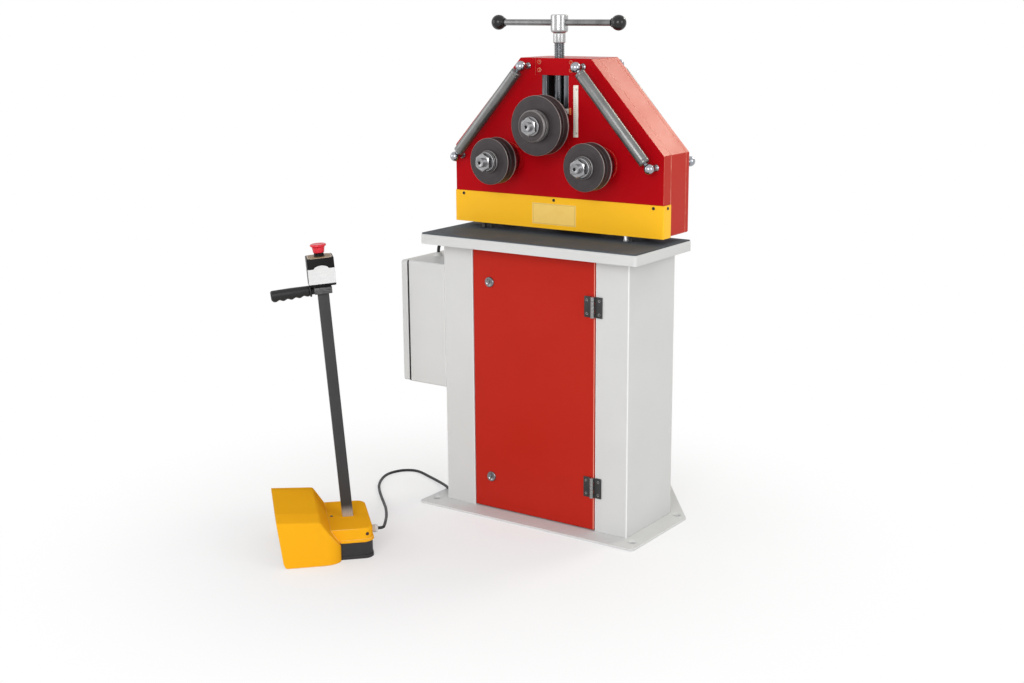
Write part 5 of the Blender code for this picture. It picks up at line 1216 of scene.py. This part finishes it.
for first, second in zip(knots, knots[1:]):
    thread_bm.edges.new((first, second))
steps_round = 28
bmesh.ops.spin(thread_bm, geom=thread_bm.verts[:] + thread_bm.edges[:], cent=(0, 0, 0),
               axis=(0, 0, 1), dvec=(0, 0, pitch / steps_round), angle=2 * math.pi * turns,
               steps=steps_round * turns, use_merge=False)
bmesh.ops.remove_doubles(thread_bm, verts=thread_bm.verts[:], dist=1e-5)
open_edges = [edge for edge in thread_bm.edges if edge.is_boundary]
bmesh.ops.holes_fill(thread_bm, edges=open_edges, sides=0)
bmesh.ops.translate(thread_bm, vec=(0, screw_y, 1.1196), verts=thread_bm.verts[:])
thread = finished("screw_thread", thread_bm, screw_dark, crease=25.0)
journal = spun("screw_journal", [
    (0, 1.0972), (0.0088, 1.0972), (0.0088, 1.1194), (0.0117, 1.1196), (0.0117, 1.1230),
    (0, 1.1230)], "Z", screw_centre, screw_dark, 32, 0.0003)
bar = spun("handle_bar_ground", [
    (0, -0.190), (0.0082, -0.190), (0.0082, 0.176), (0, 0.176)], "X", (0, screw_y, handle_z),
    turned_metal("handle_steel", (0.13, 0.13, 0.13), (0.28, 0.28, 0.28), "X",
                 (0, screw_y, handle_z), 0.34, 0.95, 700.0), 40, 0.0005)
knob_black = clouded("knob_black", 0.14, 0.0, 90.0, 3.0, (0.007, 0.007, 0.008),
                     (0.018, 0.018, 0.018), (0.12, 0.24), 0.0001, Specular_IOR_Level=0.35)
knob_radius = 0.0200
for knob, x, side in (("knob_left", -0.194, 1), ("knob_right", 0.180, -1)):
    ball = bmesh.new()
    bmesh.ops.create_uvsphere(ball, u_segments=48, v_segments=28, radius=knob_radius)
    bmesh.ops.rotate(ball, cent=(0, 0, 0), matrix=Matrix.Rotation(math.pi / 2, 3, "Y"),
                     verts=ball.verts[:])
    cut = bmesh.ops.bisect_plane(ball, geom=ball.verts[:] + ball.edges[:] + ball.faces[:],
                                 plane_co=(side * 0.0186, 0, 0), plane_no=(side, 0, 0),
                                 clear_outer=True)["geom_cut"]
    rim = edges_in(cut)
    bmesh.ops.contextual_create(ball, geom=rim)
    bmesh.ops.translate(ball, vec=(x, screw_y, handle_z), verts=ball.verts[:])
    mounted(finished(knob + "_ball", ball, knob_black), "screw", knob)
    ferrule = spun(knob + "_ferrule", [
        (0.0084, side * 0.0180), (0.0118, side * 0.0180), (0.0118, side * 0.0192),
        (0.0108, side * 0.0204), (0.0084, side * 0.0204)], "X", (x, screw_y, handle_z),
        knob_black, 36, 0.0003)
    mounted(ferrule, "screw")
mounted(hub, "screw", "lead_screw")
mounted(thread, "screw")
mounted(journal, "screw")
mounted(bar, "screw", "handle_bar")


# ---- Brace tubes ----
# Four satin tubes, each between two ball joints whose studs screw into the
# plates, two in front of the head and two behind it.

tube_satin = Finish("brace_tube_satin", 0.33, 0.85)
tube_here = tube_satin.place()
tube_cloud = tube_satin.noise(tube_here, 30.0, 5.0)
tube_fine = tube_satin.noise(tube_here, 700.0, 2.0)
tube_grain = tube_cloud * 0.5 + tube_fine * 0.5
tube_satin.set("Base Color", tube_satin.colour(
    tube_grain.ramp(0.2, 0.8), (0.145, 0.147, 0.145), (0.235, 0.238, 0.233)))
tube_satin.set("Roughness", tube_grain.ramp(0.3, 0.7, 0.28, 0.42))
tube_satin.relief(tube_fine, 0.00006, 0.5)
ball_steel = clouded("joint_ball_steel", 0.2, 1.0, 200.0, 3.0, (0.27, 0.28, 0.31),
                     (0.44, 0.45, 0.48), (0.16, 0.30))


def laid_along(start, stop):
    """The place of a piece whose Z runs from one point to another."""
    return Matrix.Translation(start) @ (stop - start).to_track_quat(
        "Z", "Y").to_matrix().to_4x4()


for side_name, side in (("left", -1), ("right", 1)):
    for row, y, plate_y, girth, faces in (("front", -0.0085, 0.0275, 0.0148, faces_back),
                                          ("rear", 0.211, 0.1626, 0.0112, faces_front)):
        brace = f"brace_{row}_{side_name}"
        upper = Vector((side * 0.0855, y, 1.222))
        lower = Vector((side * 0.306, y, 0.9732))
        length = (lower - upper).length
        lay = laid_along(upper, lower)
        end = [(girth - 0.0034, 0.0178), (girth, 0.0202), (girth, 0.0262),
               (girth - 0.0006, 0.0268), (girth - 0.0006, 0.0282), (girth, 0.0288)]
        tube = spun(brace + "_tube", [(0, 0.0178)] + end + [
            (radius, length - height) for radius, height in reversed(end)] + [
            (0, length - 0.0178)], "Z", (0, 0, 0), tube_satin.material, 48, 0.0003, lay)
        mounted(tube, "machine", f"strut_{row}_{side_name}")
        gap = abs(plate_y - y)
        for joint, spot, where in (("upper", upper, lay),
                                   ("lower", lower, laid_along(lower, upper))):
            name = f"{brace}_{joint}"
            joint_neck = spun(name + "_neck", [
                (0, 0.0120), (0.0056, 0.0120), (0.0050, 0.0150), (0.0050, 0.0180),
                (0, 0.0180)], "Z", (0, 0, 0), ball_steel, 32, 0.0003, where)
            sphere = bmesh.new()
            bmesh.ops.create_uvsphere(sphere, u_segments=40, v_segments=24, radius=0.0136)
            bmesh.ops.translate(sphere, vec=spot, verts=sphere.verts[:])
            ball = finished(name + "_ball", sphere, ball_steel)
            stud_place = Matrix.Translation(spot) @ faces
            stud = spun(name + "_stud", [
                (0, 0.0100), (0.0062, 0.0100), (0.0062, 0.0142), (0.0046, 0.0160),
                (0.0046, gap - 0.0080), (0.0092, gap - 0.0020), (0.0092, gap - 0.0003),
                (0, gap - 0.0003)], "Z", (0, 0, 0), ball_steel, 32, 0.0003, stud_place)
            nut_bm = bmesh.new()
            hexagon_nut(nut_bm, 0.0078, gap - 0.0070, gap - 0.0018, 0.0007)
            nut = finished(name + "_nut", nut_bm, tube_satin.material, stud_place)
            for made in (joint_neck, ball, stud, nut):
                mounted(made, "machine")


# ---- Gearbox and motor ----
# A cast worm gearbox on the rear plate drives the pinion between the lower
# rolls; the ribbed motor hangs under it, with a fan cowl and a terminal box.

cast_grey = powder_coat("cast_drive_paint", (0.17, 0.20, 0.225), 0.42, 260.0, 0.0003)
eased("gearbox_cast", "gearbox", cast_grey, "machine", 0.0016)
eased("motor_cast", "motor", cast_grey, "machine", 0.0010)
ribs = bmesh.new()
rib_count = 26
for number in range(rib_count):
    angle = 2 * math.pi * number / rib_count
    if abs(math.degrees(angle) - 90) < 42:  # the terminal box sits here
        continue
    one = bmesh.new()
    slab(one, (0.0590, -0.0011, 0.742), (0.0665, 0.0011, 0.852), 0.0005, 1)
    added(ribs, one, Matrix.Translation((-0.056, 0.240, 0)) @ Matrix.Rotation(angle, 4, "Z"))
motor_ribs = finished("motor_ribs", ribs, cast_grey)
bolt_circle = 0.0525
gear_bolts = hexagon_bolts("gearbox_bolts", [
    (bolt_circle * math.cos(a), 0.2955, lower_z + bolt_circle * math.sin(a))
    for a in (math.pi * k / 3 for k in range(6))], 0.0050, 0.0045, faces_back, zinc_plate)
box_screws = socket_screws("terminal_box_screws", [
    (x, 0.3318, z) for x in (-0.0855, -0.0265) for z in (0.787, 0.843)], 0.0032, 0.0022,
    faces_back, screw_black)
for made, slot in ((motor_ribs, "drive_grey"), (gear_bolts, "bright_steel"),
                   (box_screws, "dark_steel")):
    mounted(made, "machine")
recoated("drive_pinion", turned_metal(
    "gear_steel", (0.08, 0.08, 0.085), (0.20, 0.20, 0.21), "Y", (0, 0, lower_z), 0.38, 0.9,
    900.0, (0.6, 0.6, 0.6), 0.0008))


# ---- Foot control: base and treadles ----
# A black moulded tub carries two hinged treadles with ribbed pads; it flares
# to a flat foot at its back corners.

base_black = moulded("control_base_black", (0.030, 0.030, 0.032), 0.50, 1600.0, 0.0001,
                     gloss=0.25)
tub = eased("control_tub", "pedal_base", base_black, "machine", 0.0012)
for knot in tub.data.vertices:
    here = control_place.inverted() @ knot.co
    if abs(here.x) > 0.13 and here.y > -0.055:  # the floor's corners, under the hood's sweep
        knot.co = control_place @ Vector((here.x * 0.93, here.y, here.z))


def rounded_block(low, high, corner, steps, behind=False):
    """The bmesh of a block whose upright edges are rounded, or only those behind."""
    bm = bmesh.new()
    slab(bm, low, high)
    uprights = [edge for edge in bm.edges
                if abs(edge.verts[0].co.z - edge.verts[1].co.z) > (high[2] - low[2]) / 2
                and (edge.verts[0].co.y > 0 or not behind)]
    bevelled(bm, uprights, corner, steps)
    return bm


flare = rounded_block((-0.1130, -0.0360, 0.0003), (0.1130, 0.0700, 0.0085), 0.026, 8, True)
rims = [edge for edge in flare.edges if edge.verts[0].co.z > 0.008 and edge.verts[1].co.z > 0.008]
bevelled(flare, rims, 0.0018, 3)
mounted(finished("control_base_flare", flare, base_black, control_place),
        "machine")
treadle_steel = powder_coat("treadle_coat", (0.050, 0.050, 0.052), 0.45, 1200.0, 0.0001,
                            0.0010, 0.8, gloss=0.4)
for side_name, side in (("left", -1), ("right", 1)):
    pad = bmesh.new()
    slab(pad, (0.0050, -0.0905, -0.0033), (0.1305, -0.0050, 0.0033), 0.0014)
    for number in range(10):
        across = -0.0860 + 0.0082 * number
        slab(pad, (0.0100, across - 0.0014, 0.0030), (0.1255, across + 0.0014, 0.0046), 0.0006)
    barrel = rod(pad, 0.0064, 0.1255, sides=40)
    bmesh.ops.rotate(pad, cent=(0, 0, 0), matrix=Matrix.Rotation(math.pi / 2, 3, "Y"),
                     verts=barrel)
    bmesh.ops.translate(pad, vec=(0.06775, 0, 0), verts=barrel)
    if side < 0:
        bmesh.ops.scale(pad, vec=(-1, 1, 1), verts=pad.verts[:])
    made = finished(f"treadle_{side_name}_pad", pad, treadle_steel, control_place
                    @ Matrix.Translation((0, -0.060, 0.024))
                    @ Matrix.Rotation(math.atan2(-0.017, 0.090), 4, "X"))
    mounted(made, f"{side_name}_treadle", f"treadle_{side_name}")


# ---- Foot control: yellow hood ----
# One casting over the treadles and the tub, open to the foot in front, with a sloping back whose
# sides sweep in to the narrower rear body. Yellow without specular gloss; its pale orange edges
# are painted highlights.

pedal_yellow = powder_coat("foot_control_yellow", (0.88, 0.42, 0.014), 0.26, 420.0, 0.00005,
                           0.0038, 0.80, 0.0, (1.0, 0.74, 0.30), 0.0030)


def brim_edges(bm):
    """The edges between a level face and an upright one."""
    return [edge for edge in bm.edges
            if len({abs(face.normal.z) > 0.9 for face in edge.link_faces}) == 2]


def across_hood(bm, stations):
    """Lofts six-pointed cross-sections: half width, flat half width, and the
    (y, z) of foot, shoulder and top."""
    loops = []
    for half, flat, foot, shoulder, top in stations:
        knots = [bm.verts.new(point) for point in (
            (-half, *foot), (-half, *shoulder), (-flat, *top),
            (flat, *top), (half, *shoulder), (half, *foot))]
        loops.append([bm.edges.new(pair) for pair in zip(knots, knots[1:] + knots[:1])])
    for first, second in zip(loops, loops[1:]):
        bmesh.ops.bridge_loops(bm, edges=first + second)
    for loop in (loops[0], loops[-1]):
        bmesh.ops.contextual_create(bm, geom=loop)


hood_bm = bmesh.new()
sweep = [math.radians(a) for a in (0, 18, 34, 48, 60, 71, 81, 90)]
rear_arc = [(0.1110 + 0.0338 * math.cos(a), -0.0600 + 0.0440 * math.sin(a)) for a in sweep]
hood_half, hood_flat, hood_foot = 0.1448, 0.0961, 0.0005
crest_y, crest_shoulder, crest_top = -0.0678, 0.1156, 0.1247
shoulder_fall, top_fall = 1.496, 1.558  # the back's drop for each metre towards the rear
across_hood(hood_bm, [
    (hood_half, hood_flat, (-0.1625, hood_foot), (-0.1780, 0.1214), (-0.1793, 0.1313)),
    (hood_half, hood_flat, (crest_y, hood_foot), (crest_y, crest_shoulder),
     (crest_y, crest_top))] + [
    (half, hood_flat, (y, hood_foot), (y, crest_shoulder - shoulder_fall * (y - crest_y)),
     (y, crest_top - top_fall * (y - crest_y))) for half, y in rear_arc])
bmesh.ops.recalc_face_normals(hood_bm, faces=hood_bm.faces[:])
long_edges = [edge for edge in hood_bm.edges if edge.calc_face_angle(0) > math.radians(9)
              and min(knot.co.z for knot in edge.verts) > 0.07
              and max(knot.co.y for knot in edge.verts) < -0.041
              and min(knot.co.y for knot in edge.verts) > -0.185
              and not all(knot.co.y < -0.17 for knot in edge.verts)]
bmesh.ops.bevel(hood_bm, geom=long_edges, offset=0.0055, segments=4, profile=0.5,
                affect="EDGES", material=-1, clamp_overlap=True)
toe_radius = 0.0110
for degrees in (22, 45, 68):
    lean = math.radians(degrees)
    outwards = Vector((0, -math.sin(lean), -math.cos(lean)))
    cut = bmesh.ops.bisect_plane(
        hood_bm, geom=hood_bm.verts[:] + hood_bm.edges[:] + hood_bm.faces[:],
        plane_co=Vector((0, -0.1512, toe_radius)) + outwards * toe_radius, plane_no=outwards,
        clear_outer=True)["geom_cut"]
    bmesh.ops.holes_fill(hood_bm, edges=edges_in(cut), sides=0)
hood = finished("control_hood", hood_bm, pedal_yellow)

rear_bm = rounded_block((-0.1110, -0.0430, 0.0453), (0.1110, 0.0680, 0.0814), 0.0250, 10, True)
for top, offset, steps in ((True, 0.0050, 4), (False, 0.0014, 2)):
    brims = [edge for edge in brim_edges(rear_bm)
             if all((knot.co.z > 0.07) == top for knot in edge.verts)
             and min(knot.co.y for knot in edge.verts) > -0.0429]
    bevelled(rear_bm, brims, offset, steps)
carve(hood, finished("rear_form", rear_bm, pedal_yellow), "UNION")

inside_bm = bmesh.new()
across_hood(inside_bm, (
    (0.1408, 0.0941, (-0.2000, -0.0100), (-0.2000, 0.1174), (-0.2000, 0.1273)),
    (0.1404, 0.0941, (-0.0698, -0.0100), (-0.0698, 0.1116), (-0.0698, 0.1207)),
    (0.1388, 0.0941, (-0.0560, -0.0100), (-0.0560, 0.0910), (-0.0560, 0.0992)),
    (0.1362, 0.0941, (-0.0450, -0.0100), (-0.0450, 0.0746), (-0.0450, 0.0820))))
carve(hood, finished("hood_inside", inside_bm, pedal_yellow))
lip_bm = rounded_block((-0.1145, -0.0170, 0.0440), (0.1145, 0.0712, 0.0512), 0.0280, 10, True)
bevelled(lip_bm, brim_edges(lip_bm), 0.0026, 3)
carve(hood, finished("rear_lip", lip_bm, pedal_yellow), "UNION")
carve(hood, block("tub_room", (-0.1114, -0.0460, -0.0100), (0.1114, 0.0720, 0.0453),
                  pedal_yellow))
carve(hood, finished("rear_room", rounded_block(
    (-0.1070, -0.0470, 0.0400), (0.1070, 0.0640, 0.0774), 0.0210, 8, True), pedal_yellow))
creased(hood, 32.0)
hood.data.transform(control_place)
mounted(hood, "machine", "pedal_hood")
hood_screw = socket_screws("control_hood_screw", [
    control_place @ Vector((0.004, -0.0300, 0.0813))], 0.0040, 0.0016, Matrix.Identity(4),
    screw_black)
corner_turn = Matrix.Rotation(math.radians(22), 4, "Z") @ Matrix.Rotation(math.pi / 2, 4, "Y")
corner_screw = spun("control_corner_plug", [
    (0, -0.0020), (0.0046, -0.0020), (0.0046, 0.0004), (0.0036, 0.0010), (0, 0.0010)], "Z",
    (0, 0, 0), moulded("plug_brown", (0.060, 0.018, 0.010), 0.40), 28, 0.0003,
    control_place @ Matrix.Translation((0.1091, 0.0523, 0.0650)) @ corner_turn)
for made in (hood_screw, corner_screw):
    mounted(made, "machine")


# ---- Foot control: pole, clamp and hand grip ----
# A square steel tube, powder coated dark grey but bare where it enters the
# hood; near its top a grey clamp carries a black grip with finger lobes.

pole_place = control_place @ Matrix.Translation((0, 0.0124, 0.0814)) @ Matrix.Rotation(
    math.radians(4.07), 4, "X")
pole_finish = Finish("pole_coat", 0.5, Specular_IOR_Level=0.2)
pole_here = pole_finish.place()
pole_height = pole_finish.xyz(pole_here)[2]
pole_cloud = pole_finish.noise(pole_here, 12.0, 4.0)
bare = (pole_height + pole_cloud * 0.004).ramp(0.1170, 0.0870)
pole_grey = pole_finish.colour(pole_cloud, (0.036, 0.036, 0.037), (0.050, 0.050, 0.051))
pole_worn = pole_finish.colour(pole_finish.edges(0.0016) * 0.5, pole_grey, (0.16, 0.16, 0.16))
steel_grain = pole_finish.noise(pole_finish.place(scale=(1, 1, 0.08)), 700.0, 2.0)
pole_finish.set("Base Color", pole_finish.colour(
    bare, pole_worn, pole_finish.colour(steel_grain, (0.30, 0.30, 0.31), (0.60, 0.60, 0.62))))
pole_finish.set("Metallic", bare * 0.35)
pole_finish.set("Roughness", bare.ramp(0.0, 1.0, 0.48, 0.34))
pole_finish.relief(pole_finish.noise(pole_here, 1200.0, 1.0), 0.00010, 0.5,
                   pole_finish.rounded_normal(0.0016))
mounted(block("control_pole", (-0.0140, -0.0140, -0.0735), (0.0140, 0.0140, 0.6205),
              pole_finish.material, 0.0024, 3, place=pole_place),
        "machine", "pole")

clamp_finish = Finish("clamp_satin", 0.40, 0.55)
clamp_streak = clamp_finish.noise(clamp_finish.place(scale=(0.10, 0.10, 1.0)), 900.0, 3.0)
clamp_finish.set("Base Color", clamp_finish.colour(
    clamp_finish.edges(0.0010) * 0.6,
    clamp_finish.colour(clamp_streak.ramp(0.3, 0.7), (0.055, 0.055, 0.055), (0.12, 0.12, 0.12)),
    (0.26, 0.26, 0.26)))
clamp_finish.set("Roughness", clamp_streak.ramp(0.3, 0.7, 0.34, 0.50))
clamp_finish.relief(clamp_streak, 0.00006, 0.5)
mounted(block("grip_clamp", (-0.0225, -0.0225, 0.5968), (0.0225, 0.0225, 0.6150),
              clamp_finish.material, 0.0022, 3, place=pole_place),
        "machine")
clamp_screws = bmesh.new()
for x in (-0.0175, 0.0175):
    countersunk_screw(clamp_screws, (x, -0.0227, 0.604), 0.0024)
mounted(finished("grip_clamp_screws", clamp_screws, zinc_plate, pole_place), "machine")

grip_rubber = moulded("grip_rubber", (0.011, 0.011, 0.011), 0.40, 1900.0, 0.00012, gloss=0.32)
grip_bm = bmesh.new()
ring = bmesh.ops.create_circle(grip_bm, segments=40, radius=0.0105, cap_ends=False)["verts"]
edges = edges_of(ring)
grip_steps = 72
grip_length = 0.0985
grip_ring = 0.0105
for number in range(grip_steps):
    grown = bmesh.ops.extrude_edge_only(grip_bm, edges=edges)["geom"]
    edges = edges_in(grown)
    knots = corners_in(grown)
    bmesh.ops.translate(grip_bm, vec=(0, 0, grip_length / grip_steps), verts=knots)
# Each ring swells to the grip's girth; below, four lobes for the fingers
for knot in grip_bm.verts:
    along = knot.co.z / grip_length
    girth = 0.0117 + 0.0016 * min(1.0, along * 2.0)
    girth -= 0.0034 * max(0.0, (along - 0.955) / 0.045) ** 2
    girth -= 0.0022 * max(0.0, (0.02 - along) / 0.02)
    below = max(0.0, -knot.co.y / grip_ring)
    lobe = (1.0 + math.cos(2.0 * math.pi * (1.0 - along - 0.10) / 0.209)) / 2.0
    swell = (girth + 0.0036 * lobe ** 0.8 * below ** 2) / grip_ring
    knot.co.x *= swell
    knot.co.y *= swell
for rim in (edges, [edge for edge in grip_bm.edges if edge.is_boundary
                    and edge.verts[0].co.z < 0.001]):
    bmesh.ops.contextual_create(grip_bm, geom=rim)
grip_place = pole_place @ Matrix.Translation((0, -0.0325, 0.6066)) @ Matrix.Rotation(
    math.radians(92.5), 4, "X")
grip = finished("hand_grip", grip_bm, grip_rubber, grip_place, 50.0)
grip_flange = spun("hand_grip_flange", [
    (0, -0.0110), (0.0100, -0.0110), (0.0100, -0.0042), (0.0146, -0.0036), (0.0154, -0.0022),
    (0.0152, 0.0002), (0.0132, 0.0016), (0, 0.0016)], "Z", (0, -0.0022, 0), grip_rubber, 48,
    0.0005, grip_place)
mounted(grip, "machine", "grip")
mounted(grip_flange, "machine")


# ---- Foot control: switch housing and stop button ----
# A black housing on the pole's end with a pale cover over its lower half, a
# bare plate on top and a red mushroom button on a black collar.

housing_black = moulded("housing_black", (0.006, 0.006, 0.006), 0.40, 2200.0, 0.00008,
                        gloss=0.12)
housing_bm = rounded_block((-0.0330, -0.0340, 0.6190), (0.0330, 0.0340, 0.6900), 0.0060, 5)
lids = [edge for edge in housing_bm.edges
        if abs(edge.verts[0].co.z - edge.verts[1].co.z) < 0.001]
bevelled(housing_bm, lids, 0.0014, 2)
housing = finished("switch_housing", housing_bm, housing_black, pole_place)
collar = spun("button_collar", [
    (0.0066, 0.6890), (0.0140, 0.6890), (0.0140, 0.6918), (0.0125, 0.6924), (0.0125, 0.6976),
    (0.0118, 0.6986), (0.0066, 0.6986)], "Z", (0, 0, 0), housing_black, 48, 0.0003, pole_place)

pale_cover = moulded("cover_pale", (0.68, 0.68, 0.68), 0.46, 2600.0, 0.00006, gloss=0.3)
panel = block("cover_panel", (0.0262, -0.0338, 0.6252), (0.0336, 0.0338, 0.6636), pale_cover)
arch_bm = bmesh.new()
rod(arch_bm, 0.0190, 0.0074, sides=64)
bmesh.ops.rotate(arch_bm, cent=(0, 0, 0), matrix=Matrix.Rotation(math.pi / 2, 3, "Y"),
                 verts=arch_bm.verts[:])
bmesh.ops.scale(arch_bm, vec=(1, 1, 0.50), verts=arch_bm.verts[:])
bmesh.ops.translate(arch_bm, vec=(0.0299, 0, 0.6622), verts=arch_bm.verts[:])
carve(panel, finished("cover_arch", arch_bm, pale_cover), "UNION")
panel.data.transform(pole_place)
creased(panel, 30.0)
panel.name = "switch_cover"
ring_place = pole_place @ Matrix.Translation((0.0336, 0, 0.6525)) @ Matrix.Rotation(
    math.pi / 2, 4, "Y")
cover_ring = spun("switch_cover_ring", [
    (0.0143, -0.0003), (0.0152, -0.0003), (0.0151, 0.00022), (0.0144, 0.00022)], "Z",
    (0, 0, 0), pale_cover, 64, 0.0, ring_place)
cover_dot = spun("switch_cover_dot", [
    (0, -0.0003), (0.0016, -0.0003), (0.0015, 0.0004), (0.0009, 0.0007), (0, 0.0007)], "Z",
    (0, 0, 0), pale_cover, 24, 0.0, ring_place)

top_rim = moulded("top_plate_rim", (0.80, 0.68, 0.54), 0.40, 2600.0, 0.00002, gloss=0.1)
top_beige = moulded("top_plate_beige", (0.25, 0.17, 0.075), 0.36, 2600.0, 0.00002, gloss=0.1)
for name, half, roof, finish in (("top_plate_rim", 0.0302, 0.6906, top_rim),
                                 ("top_plate", 0.0284, 0.6911, top_beige)):
    sheet = finished("switch_" + name, rounded_block(
        (-half, -half, 0.6890), (half, half, roof), 0.0120, 8), finish, pole_place)
    mounted(sheet, "machine")

button_red = clouded("button_red", 0.26, 0.0, 60.0, 3.0, (0.66, 0.018, 0.035),
                     (0.76, 0.034, 0.055), (0.24, 0.36), 0.00005, Specular_IOR_Level=0.35)
mushroom = spun("stop_button_mushroom", [
    (0, 0.6958), (0.0060, 0.6958), (0.0060, 0.7046), (0.0131, 0.7046), (0.0131, 0.7003),
    (0.0141, 0.7003), (0.0150, 0.7080), (0.0162, 0.7138), (0.0180, 0.7158), (0.0201, 0.7170),
    (0.0205, 0.7184), (0.0202, 0.7198), (0.0186, 0.7214), (0.0172, 0.7216), (0.0160, 0.7210),
    (0, 0.7206)], "Z", (0, 0, 0), button_red, 72, 0.0003, pole_place)
mounted(mushroom, "stop_button", "estop_button")
mounted(housing, "machine", "pendant_base")
mounted(collar, "machine")
mounted(panel, "machine", "pendant_cover")
mounted(cover_ring, "machine")
mounted(cover_dot, "machine")
